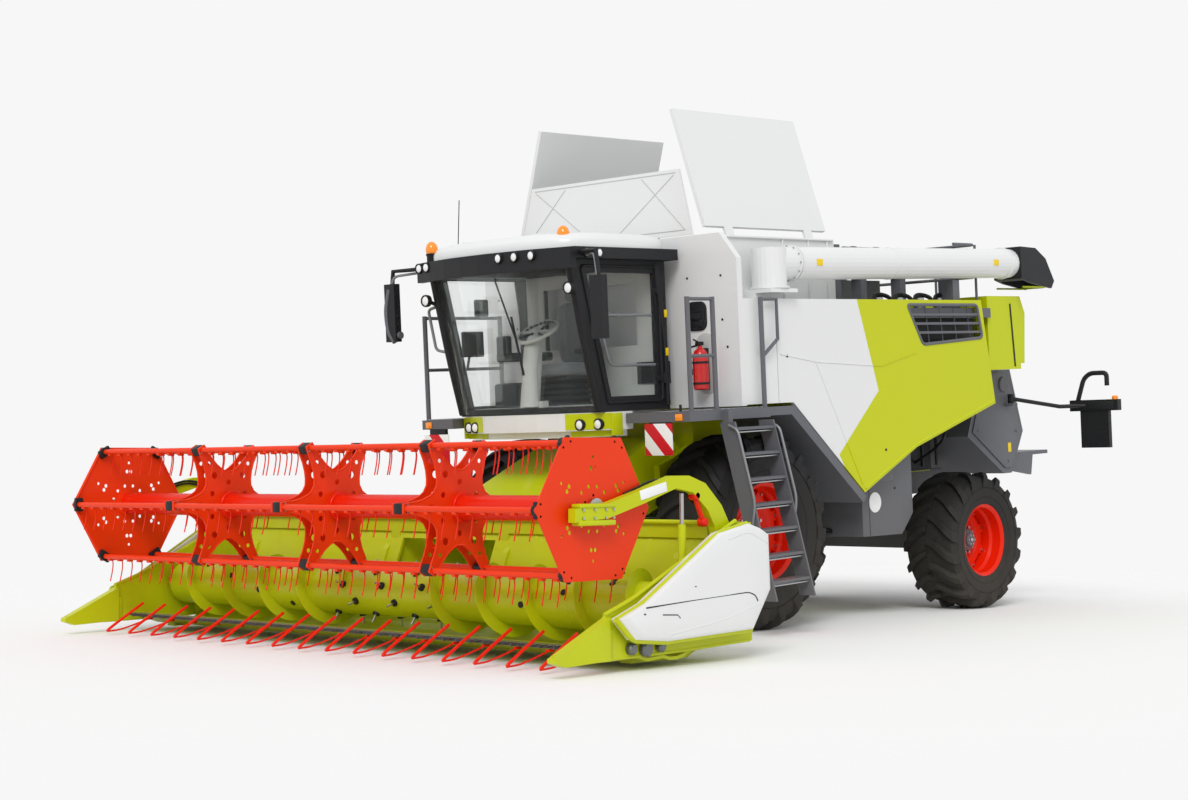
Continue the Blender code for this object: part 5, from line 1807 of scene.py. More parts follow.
    def inside(self) -> None:
        """Steering wheel rim, column boot, console, monitors, floor mat and inner lining."""
        trim = Shape(Datum.CHASSIS)
        for x, y, z, edge in (
            ((-0.50, -0.28), (2.45, 3.0), (2.56, 2.64), 0.02),
            ((-0.44, -0.34), (2.40, 2.52), (2.62, 2.80), 0.02),
            ((-0.60, -0.30), (2.50, 3.10), (2.125, 2.36), 0.03),
            ((-0.74, -0.70), (2.24, 2.50), (2.62, 2.86), 0.012),
            ((-0.72, -0.68), (2.40, 2.56), (3.0, 3.16), 0.012),
        ):
            trim.block(x, y, z, edge)
        trim.tube([(-0.72, 2.38, 2.84), (-0.80, 2.36, 2.5)], 0.012, 8)
        trim.piece("cab_console_and_monitors", DARK_TRIM, "chassis")
        wheel = Shape(Datum.CHASSIS)
        tilt = Matrix.Translation((0, 2.52, 2.82)) @ Matrix.Rotation(math.radians(30), 4, "X")
        ring = []
        for step in range(33):
            angle = 2 * math.pi * step / 32
            x, y = self.wheel_radius * math.cos(angle), self.wheel_radius * math.sin(angle)
            ring.append(tilt @ Vector((x, y, 0)))
        wheel.tube(ring, 0.0165, 10)
        for angle in (90, 210, 330):
            a = math.radians(angle)
            wheel.tube([tilt @ Vector((0, 0, -0.01)),
                        tilt @ Vector((0.19 * math.cos(a), 0.19 * math.sin(a), 0))], 0.013, 8)
        wheel.piece("steering_wheel_rim", BLACK, "chassis")
        pale = Shape(Datum.CHASSIS)
        rings = []
        for z, wide, deep, y in ((2.13, 0.10, 0.08, 2.38), (2.45, 0.075, 0.065, 2.40),
                                 (2.68, 0.085, 0.07, 2.44), (2.78, 0.07, 0.05, 2.48)):
            rings.append([(wide * a, y + deep * b, z) for a, b in ring_of((0, 0), 1, 16)])
        pale.loft(rings)
        pale.block((-0.80, 0.80), (2.44, 3.22), (2.122, 2.128), 0.002)
        pale.piece("cab_floor_mat", SOFT_GREY, "chassis")
        lining = Shape(Datum.CHASSIS)
        wall = [(-0.83, 2.13), (0.83, 2.13), (0.83, 3.40), (-0.83, 3.40)]
        window = [(-0.60, 2.66), (0.60, 2.66), (0.60, 3.24), (-0.60, 3.24)]
        lining.prism(wall, "Y", 3.215, 3.232, 0.004, [window])
        lining.block((-0.82, 0.82), (2.12, 3.20), (3.395, 3.412), 0.006)
        lining.piece("cab_inner_lining", SOFT_GREY, "chassis")

    def build(self) -> None:
        """Build everything on the cab."""
        self.dome()
        self.lamps()
        self.mirrors()
        self.pillars()
        self.inside()


def ring_corners(x0: float, x1: float, z0: float, z1: float, radius: float) -> list[tuple]:
    """The outline of a rectangle with round corners.

    Args:
        x0: its low first coordinate.
        x1: its high first coordinate.
        z0: its low second coordinate.
        z1: its high second coordinate.
        radius: its corners' radius.

    Returns:
        The outline's points, as pairs.
    """
    made = []
    corners = ((x1 - radius, z1 - radius, 0), (x0 + radius, z1 - radius, 90),
               (x0 + radius, z0 + radius, 180), (x1 - radius, z0 + radius, 270))
    for x, z, start in corners:
        for step in range(5):
            angle = math.radians(start + 90 * step / 4)
            made.append((x + radius * math.cos(angle), z + radius * math.sin(angle)))
    return made


# ------------------------------------------------------------------ seat
@dataclass
class Seat:
    """The driver's seat: crowned cushions with sewn channels on a bellows pedestal.

    Args:
        y: the middle of the seat's pan.
    """

    y: float = 2.86

    def cushion(self, name: str, low: Point, high: Point, face: int, channels: int) -> None:
        """A crowned cushion, pinched at its corners and along its sewn channels.

        Args:
            name: its piece's name.
            low: its lowest corner.
            high: its highest corner.
            face: the axis that its crown faces, 1 for Y and 2 for Z.
            channels: how many sewn channels run up it.
        """
        form = bmesh.new()
        size = [h - l for l, h in zip(low, high)]
        middle = Vector([(h + l) / 2 for l, h in zip(low, high)])
        bmesh.ops.create_cube(form, size=2)
        bmesh.ops.subdivide_edges(form, edges=form.edges[:], cuts=15, use_grid_fill=True)
        along = 2 if face == 1 else 1
        for vert in form.verts:
            x, y, z = vert.co
            across, up, depth = x, vert.co[along], vert.co[face]
            crown = (1 - across * across) * (1 - up * up)
            pinch = 1 - 0.10 * (abs(across) * abs(up)) ** 3 - 0.05 * depth * depth
            swell = 0.72 + 0.28 * crown**0.45
            wave = abs(math.sin(math.pi * channels * (across + 1) / 2)) ** 0.4
            inner = 1.0 if abs(across) < 0.66 else 0.0
            swell -= 0.05 * (1 - wave) * inner * (abs(depth) > 0.5)
            new = [0.0, 0.0, 0.0]
            new[0] = across * pinch * size[0] / 2
            new[along] = up * pinch * size[along] / 2
            new[face] = depth * swell * size[face] / 2
            vert.co = middle + Vector(new)
        shape = Shape(Datum.CHASSIS)
        shape.absorb(form)
        made = shape.piece(name, SEAT_CLOTH, "chassis", 70)

    def build(self) -> None:
        """Build the pedestal and the cushions."""
        base = Shape(Datum.CHASSIS)
        rings = []
        for index in range(9):
            z = 2.135 + 0.028 * index
            half = 0.17 if index % 2 else 0.195
            rings.append([(x * half, self.y + y * half, z) for x, y in
                          ((1, 0.8), (0.8, 1), (-0.8, 1), (-1, 0.8), (-1, -0.8), (-0.8, -1),
                           (0.8, -1), (1, -0.8))])
        base.loft(rings)
        base.block((-0.22, 0.22), (self.y - 0.20, self.y + 0.20), (2.36, 2.40), 0.012)
        base.block((-0.20, 0.20), (self.y + 0.22, self.y + 0.27), (2.46, 3.10), 0.02)
        base.block((0.27, 0.32), (self.y - 0.16, self.y + 0.18), (2.60, 2.65), 0.02)
        base.tube([(0.295, self.y + 0.16, 2.62), (0.27, self.y + 0.22, 2.52)], 0.014, 8)
        base.piece("seat_pedestal", DARK_TRIM, "chassis", 35, ["operator_seat"])
        # Each cushion: half its width, its reach behind the pan's middle, its height.
        for name, half, reach, height, face, channels in (
            ("seat_cushion", 0.25, (-0.26, 0.21), (2.40, 2.53), 2, 5),
            ("seat_back", 0.24, (0.15, 0.25), (2.52, 3.10), 1, 5),
            ("seat_headrest", 0.14, (0.16, 0.25), (3.10, 3.27), 1, 2),
        ):
            low = (-half, self.y + reach[0], height[0])
            high = (half, self.y + reach[1], height[1])
            self.cushion(name, low, high, face, channels)


# ------------------------------------------------------------------ tank and deck
@dataclass
class Tank:
    """Ribs, stays, handles and fittings of the grain tank and its lids.

    Args:
        hinge: the x and z of a side lid's foot.
        lean_deg: how far a side lid leans in.
        rib_radius: a stiffening rib's radius.
        bottle: the x and y of the fire extinguisher.
    """

    hinge: tuple = (1.22, 3.725)
    lean_deg: float = 17.0
    rib_radius: float = 0.012
    bottle: tuple = (1.25, 3.345)

    def on_lid(self, side: int, y: float, up: float) -> Point:
        """A point on the inner face of a side lid, so far up it."""
        lean = math.radians(self.lean_deg)
        x, z = self.hinge
        return side * (x - 0.012 - math.sin(lean) * up), y, z + math.cos(lean) * up

    def lids(self) -> None:
        """Ribs inside the side lids, and the front lid's stays and frame."""
        for name, side in SIDES.items():
            ribs = Shape(Datum.CHASSIS)
            for y in (3.60, 4.05, 4.45, 4.85, 5.28):
                points = [self.on_lid(side, y, up) for up in (0.05, 1.10)]
                ribs.tube(points, self.rib_radius, 8, 0.7)
            for up in (0.06, 0.55, 1.10):
                points = [self.on_lid(side, y, up) for y in (3.56, 5.32)]
                ribs.tube(points, self.rib_radius, 8, 0.7)
            ribs.piece(f"tank_lid_ribs_{name}", SOFT_GREY, f"tank_lid_{name}")
        stays = Shape(Datum.CHASSIS)
        runs = [((-1.04, 3.70), (1.04, 3.70)), ((-0.92, 4.24), (0.92, 4.24))]
        for side in (-1, 1):
            runs += [((side * 1.04, 3.70), (side * 0.5, 4.22)),
                     ((side * 0.9, 4.22), (side * 0.2, 3.72))]
        for ends in runs:
            line = []
            for x, z in ends:
                spot = touch("tank_lid_front", Datum.CHASSIS, (x, 2.0, z), (0, 1, 0))
                line.append(spot - Vector((0, 0.001, 0)))
            stays.tube(line, 0.004, 6)
        stays.piece("tank_front_lid_stays", SOFT_GREY, "tank_lid_front")

    def front(self) -> None:
        """The handle box, extinguisher, loops and small fittings on the tank's front."""
        dark = Shape(Datum.CHASSIS)
        dark.prism(ring_corners(1.03, 1.27, 2.76, 3.03, 0.07), "Y", 3.425, 3.445, 0.006)
        dark.block((1.08, 1.22), (3.415, 3.43), (2.86, 2.93), 0.008)
        for x, z in ((1.45, 3.25), (1.45, 2.85), (1.05, 3.25), (-1.05, 3.25), (-1.45, 3.2),
                     (-1.2, 2.9), (1.5, 2.6)):
            dark.disc((x, 3.442, z), "Y", 0.012, -0.006, 12)
        dark.tube([(1.2, 3.43, 2.30), (1.2, 3.42, 2.45)], 0.008, 6)
        dark.piece("tank_front_fittings", BLACK, "chassis")
        bottle = Shape(Datum.CHASSIS)
        bottle.turned(
            [(0, 0), (0, 0.06), (0.012, 0.072), (0.31, 0.072), (0.36, 0.052), (0.38, 0.022),
             (0.41, 0.018), (0.41, 0)],
            (*self.bottle, 2.22), "Z", 28,
        )
        bottle.piece("fire_extinguisher", EXTINGUISHER, "chassis")
        strap = Shape(Datum.CHASSIS)
        for z in (2.27, 2.46):
            strap.turned([(0, 0.071), (0, 0.076), (0.02, 0.076), (0.02, 0.071)],
                         (*self.bottle, z), "Z", 28, closed=True)
        strap.block((1.22, 1.28), (3.40, 3.44), (2.22, 2.60), 0.005)
        strap.block((1.22, 1.28), (3.31, 3.37), (2.625, 2.66), 0.008)
        strap.tube([(1.25, 3.335, 2.65), (1.25, 3.26, 2.68)], 0.008, 8)
        hose = smooth_path([(1.24, 3.33, 2.63), (1.15, 3.30, 2.58), (1.165, 3.33, 2.36)], 5)
        strap.tube(hose, 0.009, 8)
        strap.piece("extinguisher_bracket", BLACK, "chassis")
        recess = Shape(Datum.CHASSIS)
        recess.prism(ring_corners(1.13, 1.37, 2.18, 2.74, 0.11), "Y", 3.431, 3.4435, 0.004)
        recess.piece("extinguisher_recess", SOFT_GREY, "chassis")

    def rim(self) -> None:
        """Rolled edge and stiffeners round the tank's opening."""
        edge = Shape(Datum.CHASSIS)
        edge.tube(
            rounded_path([(-1.27, 3.56, 3.63), (-1.27, 5.40, 3.63), (1.27, 5.40, 3.63),
                          (1.27, 3.56, 3.63)], 0.05), 0.014, 8)
        for side in (-1, 1):
            for y in (3.8, 4.2, 4.6, 5.0, 5.3):
                if side > 0 and y < 4.3:
                    continue
                edge.tube([(side * 1.266, y, 3.05), (side * 1.266, y, 3.62)], self.rib_radius, 8)
        edge.piece("tank_rim_edging", WHITE, "chassis")

    def build(self) -> None:
        """Build all of the tank's fittings."""
        self.lids()
        self.front()
        self.rim()


@dataclass
class Deck:
    """The engine deck's rails, screens, ducts and pipes.

    Args:
        rail_heights: the z of its two rails.
        rail_back: the y of the rails' rear run.
        rail_radius: a rail's radius.
        muffler: the x and z of the exhaust silencer's middle line.
    """

    rail_heights: tuple = (3.28, 3.62)
    rail_back: float = 7.56
    rail_radius: float = 0.016
    muffler: tuple = (0.80, 3.50)

    def build(self) -> None:
        """Build the deck's fittings."""
        rails = Shape(Datum.CHASSIS)
        for z in self.rail_heights:
            run = [(-1.55, 7.12, z), (-1.55, self.rail_back, z), (1.50, self.rail_back, z),
                   (1.50, 7.16, z)]
            rails.tube(rounded_path(run, 0.08), self.rail_radius, 10)
        for x in (-1.55, -1.0, -0.05, 0.5, 1.0, 1.50):
            rails.tube([(x, self.rail_back, 2.95), (x, self.rail_back, 3.62)], 0.014, 10)
        rails.tube([(-1.55, 7.12, 2.95), (-1.55, 7.12, 3.62)], 0.014, 10)
        rails.piece("engine_deck_rails", GREY, "chassis")
        screen = Shape(Datum.CHASSIS)
        for index in range(22):
            z = 3.0 + 0.029 * index
            screen.block((-1.514, -1.500), (5.76, 7.04), (z, z + 0.012), 0.002)
        for index in range(8):
            y = 5.76 + 0.18 * index
            screen.block((-1.522, -1.50), (y, y + 0.02), (2.98, 3.64), 0.002)
        for index in range(16):
            x = -1.36 + 0.15 * index
            screen.block((x, x + 0.02), (5.60, 5.74), (3.62, 3.632), 0.002)
        screen.piece("radiator_screen", BLACK, "chassis")
        pipes = Shape(Datum.CHASSIS)
        pipes.tube(smooth_path([(0.80, 6.15, 3.50), (0.62, 6.05, 3.46), (0.45, 6.15, 3.30),
                                (0.30, 6.3, 3.2)], 5), 0.06, 14)
        pipes.tube(smooth_path([(-0.35, 7.05, 3.2), (-0.1, 6.9, 3.38), (0.2, 6.6, 3.42),
                                (0.4, 6.2, 3.36)], 5), 0.045, 14)
        pipes.tube(smooth_path([(-0.70, 6.3, 3.5), (-0.45, 6.3, 3.5), (-0.25, 6.45, 3.35)], 5),
                   0.04, 12)
        pipes.piece("engine_ducts", BLACK, "chassis")
        bands = Shape(Datum.CHASSIS)
        for y in (6.35, 6.75, 7.15):
            bands.turned([(0, 0.13), (0, 0.137), (0.03, 0.137), (0.03, 0.13)],
                         (self.muffler[0], y, self.muffler[1]), "Y", 28, closed=True)
        for x in (-0.4, -0.2, 0.0, 0.2, 0.4):
            for y in (6.35, 6.70):
                bands.disc((x, y, 3.30), "Z", 0.055, 0.03, 16)
        bands.piece("engine_caps_and_bands", STEEL, "chassis")


@dataclass
class Spout:
    """The unloading tube's elbow, its flanges and bolts, and the lipped spout.

    Args:
        x: the x of the tube's middle line.
        radius: the tube's radius.
    """

    x: float = 1.55
    radius: float = 0.155

    def line(self, y: float) -> float:
        """Height of the tube's middle line at y."""
        return 3.36 + 0.07 * (y - 3.97) / 4.13

    def build(self) -> None:
        """Build the tube's rings, elbow seams, bolts, labels and the spout's lip."""
        rings = Shape(Datum.CHASSIS)
        for y, radius in ((4.30, 0.172), (4.34, 0.172), (7.96, 0.170), (5.9, 0.161)):
            rings.turned([(0, 0.150), (0, radius), (0.016, radius), (0.016, 0.150)],
                         (self.x, y, self.line(y)), "Y", 36, closed=True)
        rings.turned([(0, self.radius), (0, 0.188), (0.02, 0.188), (0.02, self.radius)],
                     (self.x, 4.02, 3.124), "Z", 36, closed=True)
        rings.piece("unloading_tube_flanges", WHITE, "unloading_tube")
        bolts = Shape(Datum.CHASSIS)
        for px, pz in ring_of((self.x, self.line(4.3)), 0.163, 12):
            bolts.bolt((px, 4.30, pz), "Y", 0.008, -0.008)
            bolts.bolt((px, 4.356, pz), "Y", 0.008, 0.008)
        bolts.piece("unloading_tube_bolts", STEEL, "unloading_tube")
        label = Shape(Datum.CHASSIS)
        for y in (4.55, 7.6):
            label.block((self.x + 0.1545, self.x + 0.158), (y, y + 0.09),
                        (self.line(y) - 0.03, self.line(y) + 0.03), 0.001)
        label.piece("tube_blank_labels", BLANK_YELLOW, "unloading_tube")
        lip = Shape(Datum.CHASSIS)
        lip.tube(
            rounded_path([(1.39, 8.14, 3.17), (1.39, 8.60, 3.17), (1.71, 8.60, 3.17),
                          (1.71, 8.14, 3.17)], 0.05), 0.01, 8)
        # The lip is in the darker lime, with painted shade.
        lip.piece("spout_green_lip", LIME_PAINTED_SHADE, "unloading_tube")


# ------------------------------------------------------------------ sides and rear
@dataclass
class Panels:
    """Creases, bevel bands, grille bars and catches of the side panels.

    Args:
        face: the outer face's distance from the middle.
        crease: how far a crease stands out.
        bars: the z of the grille's bars.
        posts: the y of the grille's uprights.
    """

    face: float = 1.641
    crease: float = 0.0065
    bars: tuple = (2.70, 2.79, 2.88)
    posts: tuple = (6.5, 6.75, 7.0, 7.25)

    def build(self) -> None:
        """Build the trim of both side panels."""
        for name, side in SIDES.items():
            body = f"side_panel_{name}"
            x = side * self.face
            band = Shape(Datum.CHASSIS)
            low = [(5.26, 1.19), (6.15, 1.575), (7.60, 1.965)]
            band.tube(rounded_path([(side * 1.630, y, z + 0.012) for y, z in low], 0.05), 0.018, 10)
            band.piece(f"side_panel_edge_{name}", LIME, body)
            crease = Shape(Datum.CHASSIS)
            crease.tube([(x, 4.02, 2.52), (x, 4.55, 2.44), (x, 5.22, 1.24)], self.crease, 8)
            crease.tube([(x, 4.55, 2.44), (x, 5.60, 2.38), (x, 6.2, 2.50)], self.crease, 8)
            crease.piece(f"side_panel_creases_{name}", SIDE_PAINT, body)
            grille = Shape(Datum.CHASSIS)
            frame_line = [(6.08, 2.98), (7.34, 2.98), (7.42, 2.64), (6.33, 2.58)]
            loop = [(side * 1.636, y, z) for y, z in frame_line]
            middle = [(a + b) / 2 for a, b in zip(loop[0], loop[1])]
            grille.tube(rounded_path([middle, *loop[1:], loop[0], middle], 0.05), 0.017, 8)
            for z in self.bars:
                start = 6.33 - 0.25 * (z - 2.58) / 0.40 + 0.01
                end = 7.42 - 0.08 * (z - 2.64) / 0.34 - 0.01
                grille.block(sorted((side * 1.597, side * 1.6425)), (start, end),
                             (z - 0.0125, z + 0.0125), 0.004)
            for y in self.posts:
                grille.tube([(side * 1.60, y, 2.60), (side * 1.60, y - 0.05, 2.97)], 0.007, 6)
            grille.piece(f"side_panel_grille_{name}", GREY, body)
            dark = Shape(Datum.CHASSIS)
            for y, z in ((5.62, 1.56), (4.12, 2.50)):
                dark.disc((side * 1.638, y, z), "X", 0.014, side * 0.008, 14)
            dark.piece(f"side_panel_catches_{name}", BLACK, body)


@dataclass
class Rear:
    """Seams, lamps, labels and brackets of the straw hood, chopper and marker arm.

    Args:
        hood_x: the straw hood's outer face.
        chopper_x: the chopper's outer face, under its side sheets.
        ribs: the x of the rear hood's ribs.
        arm_y: the y of the marker arm's board.
    """

    hood_x: float = 1.56
    chopper_x: float = 1.241
    ribs: tuple = (-1.0, 0.0, 1.0)
    arm_y: float = 9.02

    def build(self) -> None:
        """Build the rear's trim."""
        seams = Shape(Datum.CHASSIS)
        for side in (-1, 1):
            x = side * self.hood_x
            seams.tube([(x, 8.16, 2.33), (x, 8.10, 3.0)], 0.012, 6)
        seams.piece("straw_hood_seams", BLACK, "chassis")
        flap = Shape(Datum.CHASSIS)
        for x in self.ribs:
            flap.tube([(x, 8.418, 2.44), (x, 8.405, 3.0)], 0.012, 8)
        flap.tube([(-1.45, 8.42, 2.40), (1.45, 8.42, 2.40)], 0.014, 8)
        flap.piece("rear_hood_ribs", LIME, "rear_hood")
        lamps = Shape(Datum.CHASSIS)
        amber = Shape(Datum.CHASSIS)
        for x in (-1.38, 1.30):
            lamps.block((x - 0.06, x + 0.10), (8.405, 8.43), (2.62, 2.70), 0.012)
            amber.block((x - 0.06, x + 0.10), (8.405, 8.43), (2.72, 2.78), 0.012)
        lamps.piece("rear_red_lamps", TAIL, "rear_hood")
        amber.piece("rear_amber_lamps", AMBER, "rear_hood")
        sides = Shape(Datum.CHASSIS)
        outline = [(7.76, 1.64), (8.02, 2.25), (8.30, 2.28), (8.44, 2.24), (8.54, 2.10),
                   (8.72, 1.62), (8.50, 1.23), (8.38, 1.23)]
        for side in (-1, 1):
            sides.prism(outline, "X", *sorted((side * self.chopper_x, side * 1.256)), 0.005)
            sides.disc((side * 1.25, 8.38, 2.14), "X", 0.085, side * 0.03, 28)
            for y, z in ((7.86, 1.66), (8.05, 2.15), (8.62, 1.62), (8.44, 1.30)):
                sides.bolt((side * 1.255, y, z), "X", 0.012, side * 0.009)
        sides.piece("straw_chopper_sides", GREY, "chassis")
        label = Shape(Datum.CHASSIS)
        for side in (-1, 1):
            label.block(sorted((side * 1.255, side * 1.258)), (8.44, 8.50), (1.40, 1.50), 0.001)
        label.piece("chopper_blank_labels", BLANK_YELLOW, "chassis")
        arm = Shape(Datum.CHASSIS)
        handle = Shape(Datum.CHASSIS)
        bend = ((1.80, 1.92), (1.88, 2.16), (1.96, 2.22), (2.16, 2.22), (2.16, 2.08))
        loop = [(x, self.arm_y, z) for x, z in bend]
        handle.tube(rounded_path(loop, 0.05), 0.026, 10)
        handle.block((1.76, 2.26), (8.972, 8.984), (1.825, 1.915), 0.005)
        handle.piece("marker_arm_handle", BLACK, "marker_arm")
        arm.disc((2.25, self.arm_y, 1.925), "Z", 0.034, 0.045, 20)
        arm.piece("marker_arm_lamp", AMBER, "marker_arm")


@dataclass
class Platforms:
    """Treads, grab rails, hazard boards and lamps of the platforms and the ladder.

    Args:
        tread: the low and high z of the platforms' tread bars.
        bar_pitch: how far apart those bars lie.
        steps: how many steps the ladder has.
        ladder_sides: the y of the ladder's grab rails.
    """

    tread: tuple = (2.04, 2.048)
    bar_pitch: float = 0.08
    steps: int = 7
    ladder_sides: tuple = (3.045, 3.635)

    def build(self) -> None:
        """Build the platform and ladder trim."""
        mesh = Shape(Datum.CHASSIS)
        for index in range(13):
            y = 2.68 + self.bar_pitch * index
            mesh.block((0.99, 1.70), (y, y + 0.02), self.tread, 0.002)
        for index in range(17):
            y = 2.34 + self.bar_pitch * index
            mesh.block((-1.38, -0.99), (y, y + 0.02), self.tread, 0.002)
        mesh.piece("platform_tread_bars", STEEL, "chassis")
        steps = Shape(Datum.CHASSIS)
        for index in range(self.steps):
            t = (index + 0.5) / self.steps
            x, z = 1.77 + 0.39 * t, 1.93 - 1.57 * t
            for shift in (-0.06, -0.02, 0.02, 0.06):
                steps.block((x + shift - 0.006, x + shift + 0.006), (3.10, 3.58),
                            (z + 0.012, z + 0.022), 0.002)
        steps.piece("ladder_tread_bars", STEEL, "ladder")
        rails = Shape(Datum.CHASSIS)
        for y in self.ladder_sides:
            path = [(1.80, y, 1.90), (1.90, y, 1.86), (2.06, y, 1.22), (2.02, y, 1.0)]
            rails.tube(rounded_path(path, 0.07), 0.012, 10)
        rails.piece("ladder_grab_rails", RAIL, "ladder")
        boards = Shape(Datum.CHASSIS)
        boards.block((-1.36, -1.02), (2.285, 2.296), (1.60, 1.90), 0.002)
        boards.piece("hazard_board_right", STRIPES, "chassis")
        rear = Shape(Datum.CHASSIS)
        rear.block((1.20, 1.52), (2.604, 2.615), (1.66, 1.94), 0.002)
        rear.piece("hazard_board_left", STRIPES, "chassis")
        black = Shape(Datum.CHASSIS)
        black.block((-1.30, -1.08), (2.30, 2.34), (1.70, 1.96), 0.006)
        black.block((1.24, 1.48), (2.62, 2.66), (1.70, 1.96), 0.006)
        black.tube([(1.60, 2.64, 2.04), (1.60, 2.64, 2.10)], 0.012, 8)
        black.piece("platform_brackets", BLACK, "chassis")
        amber = Shape(Datum.CHASSIS)
        amber.block((1.56, 1.64), (2.605, 2.62), (1.96, 2.02), 0.006)
        amber.block((-1.34, -1.26), (2.285, 2.30), (1.96, 2.02), 0.006)
        amber.piece("platform_marker_lamps", AMBER, "chassis")


@dataclass
class Underneath:
    """Hoses, pipes and bolts on the axles, frame and service box.

    Args:
        box: a service box's inner and outer face.
        body_x: the threshing body's outer face.
        pipe_radius: the radius of the pipes beside the body.
        sign_radius: the radius of the blank disc on the left service box.
    """

    box: tuple = (0.83, 1.4545)
    body_x: float = 0.802
    pipe_radius: float = 0.014
    sign_radius: float = 0.10

    def build(self) -> None:
        """Build the running gear's fittings."""
        hoses = Shape(Datum.CHASSIS)
        for side in (-1, 1):
            for shift in (0.0, 0.04):
                path = [(side * 0.66, 3.95, 1.05 + shift), (side * 0.72, 4.4, 1.12 + shift),
                        (side * 0.68, 5.2, 1.0 + shift), (side * 0.70, 6.4, 0.96 + shift),
                        (side * 0.66, 7.2, 1.02 + shift)]
                hoses.tube(smooth_path(path, 6), 0.012, 8)
        hoses.piece("frame_hoses", HOSE, "chassis")
        bolts = Shape(Datum.CHASSIS)
        for side in (-1, 1):
            for y, z in ring_of(FRONT_AXLE, 0.25, 12):
                bolts.bolt((side * 0.62, y, z), "X", 0.014, -side * 0.014)
        bolts.piece("axle_bolts", STEEL, "chassis")
        sign = Shape(Datum.CHASSIS)
        sign.disc((1.4535, 5.66, 1.04), "X", self.sign_radius, 0.004, 36)
        sign.piece("service_box_blank_disc", BLANK_WHITE, "chassis")
        self.boxes()
        self.pipes()

    def boxes(self) -> None:
        """Grey sheet covers on the service boxes, and dark screens along the body."""
        covers = Shape(Datum.CHASSIS)
        screens = Shape(Datum.CHASSIS)
        outline = [(5.445, 0.715), (6.103, 0.694), (6.305, 0.895), (6.305, 1.63), (5.445, 1.43)]
        body = [(5.40, 1.26), (7.60, 1.26), (7.60, 2.34), (8.18, 2.39), (8.18, 2.56), (5.40, 2.56)]
        for side in (-1, 1):
            covers.prism(outline, "X", *sorted(side * x for x in self.box), 0.006)
            covers.prism([(5.62, 1.24), (5.98, 1.24), (5.98, 1.36), (5.62, 1.33)], "X",
                         *sorted((side * 1.45, side * 1.462)), 0.004)
            screens.prism(body, "X", *sorted((side * self.body_x, side * 0.812)), 0)
            for index in range(9):
                y = 5.6 + 0.26 * index
                screens.block(sorted((side * 0.81, side * 0.83)), (y, y + 0.03), (1.3, 2.3), 0.004)
            screens.block(sorted((side * 1.50, side * 1.512)), (6.10, 7.46), (2.56, 2.84), 0.003)
        covers.piece("service_box_covers", GREY, "chassis")
        screens.piece("body_screens", BLACK, "chassis")
        seams = Shape(Datum.CHASSIS)
        seams.tube([(1.455, 5.56, 0.72), (1.455, 5.56, 1.40)], 0.003, 6)
        seams.disc((1.454, 6.0, 1.16), "X", 0.012, 0.006, 12)
        seams.piece("service_box_seams", BLACK, "chassis")

    def pipes(self) -> None:
        """Pipes and hoses beside the body, over the rear axle and on the engine deck."""
        steel = Shape(Datum.CHASSIS)
        rubber = Shape(Datum.CHASSIS)
        for side in (-1, 1):
            for index, y in enumerate((6.48, 6.62, 6.74, 6.98, 7.30)):
                shape = steel if index % 2 else rubber
                x = side * (0.90 + 0.07 * index)
                path = [(x, y, 2.05), (x + side * 0.02, y + 0.03, 1.8), (x, y - 0.04, 1.56),
                        (side * 0.72, y + 0.02, 1.30)]
                shape.tube(smooth_path(path, 5), self.pipe_radius, 8)
            for index in range(4):
                y = 5.75 + 0.36 * index
                x = side * 1.46
                path = [(x, y, 2.99), (x - side * 0.05, y + 0.12, 3.09), (x, y + 0.26, 3.07),
                        (x - side * 0.03, y + 0.40, 2.99)]
                rubber.tube(smooth_path(path, 5), 0.022, 8)
                steel.disc((x - side * 0.07, y + 0.18, 2.95), "Z", 0.055, 0.13, 18)
            for drop in (0.0, 0.05):
                path = [(side * 0.78, 4.75, 1.16), (side * 1.0, 4.95, 0.90 - drop),
                        (side * 1.1, 5.2, 0.82 - drop), (side * 1.05, 5.5, 0.76)]
                rubber.tube(smooth_path(path, 6), 0.02, 8)
        steel.piece("body_pipes", STEEL, "chassis")
        rubber.piece("body_hoses", HOSE, "chassis")




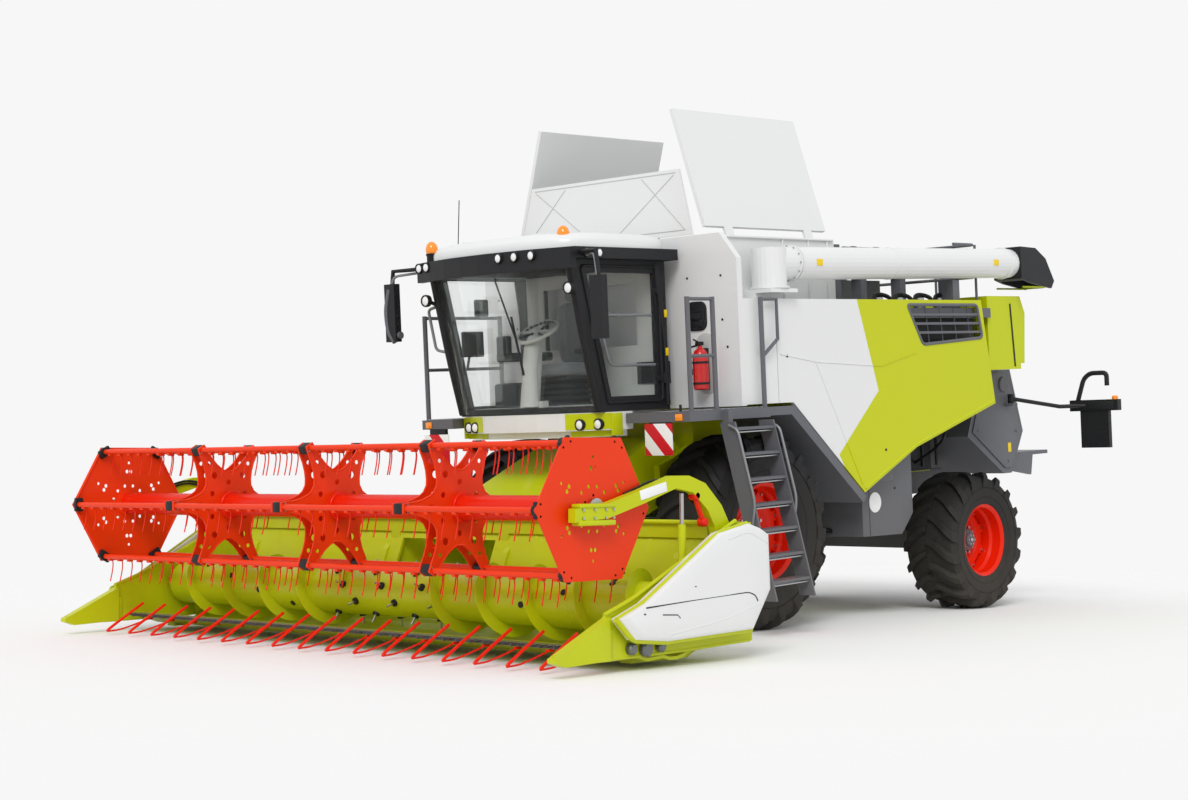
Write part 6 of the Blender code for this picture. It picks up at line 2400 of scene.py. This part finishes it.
# ------------------------------------------------------------------ whole machine
NODE_FINISHES: tuple[tuple[Finish, tuple[str, ...]], ...] = (
    (LIME, ("header_frame", "feeder_house", "reel_arm_left", "reel_arm_right", "straw_hood",
            "rear_hood", "threshing_body", "reel_cylinder_left", "reel_cylinder_right")),
    (WHITE, ("header_cover_left", "header_cover_right", "grain_tank", "cab_roof", "front_panel",
             "unloading_tube", "tank_lid_left", "tank_lid_right", "tank_lid_front")),
    (SIDE_PAINT, ("side_panel_left", "side_panel_right")),
    (GREY, ("front_axle", "rear_axle", "main_frame", "platform_left", "platform_right", "ladder",
            "straw_chopper", "knuckle_left", "knuckle_right", "engine_deck", "lift_cylinders")),
    (BLACK, ("cab_visor", "cab_shell", "cab_door", "spout", "marker_arm")),
    (SOFT_GREY, ("steering_column",)),
    (STEEL, ("lift_rods", "reel_rod_left", "reel_rod_right")),
    (CAST, ("knife_bar", "engine")),
    (CLEAR, ("side_glass", "door_glass", "windscreen")),
    (DARK_TRIM, ("operator_seat",)),
)


def wheels() -> list[Wheel]:
    """The four wheels, in the order in which they are built.

    Returns:
        The wheels.
    """
    made = []
    for side in SIDES:
        made.append(Wheel("front", side, FRONT_AXLE, 0.90, 0.71, 0.432, 0.60, 0.12, 19))
        made.append(Wheel("rear", side, REAR_AXLE, 0.713, 0.60, 0.356, 0.52, 0.04, 17, 0.044))
    return made


def main() -> None:
    """Build the studio and every sub-assembly in order, and report each piece."""
    logging.basicConfig(level=logging.INFO, format="%(message)s")
    Studio().build()
    for finish, names in NODE_FINISHES:
        dress(names, finish)
    fitted = (
        Reel, Auger, Header, Feeder, Cab, Seat, Tank, Deck, Spout, Panels, Rear, Platforms,
        Underneath,
    )
    for assembly in (*wheels(), *(kind() for kind in fitted)):
        before = set(bpy.data.objects)
        assembly.build()
        for made in sorted(set(bpy.data.objects) - before, key=lambda o: o.name):
            faces = len(made.data.polygons)
            LOG.info("%s: %s, %d faces", type(assembly).__name__, made.name, faces)


if __name__ == "__main__":
    main()
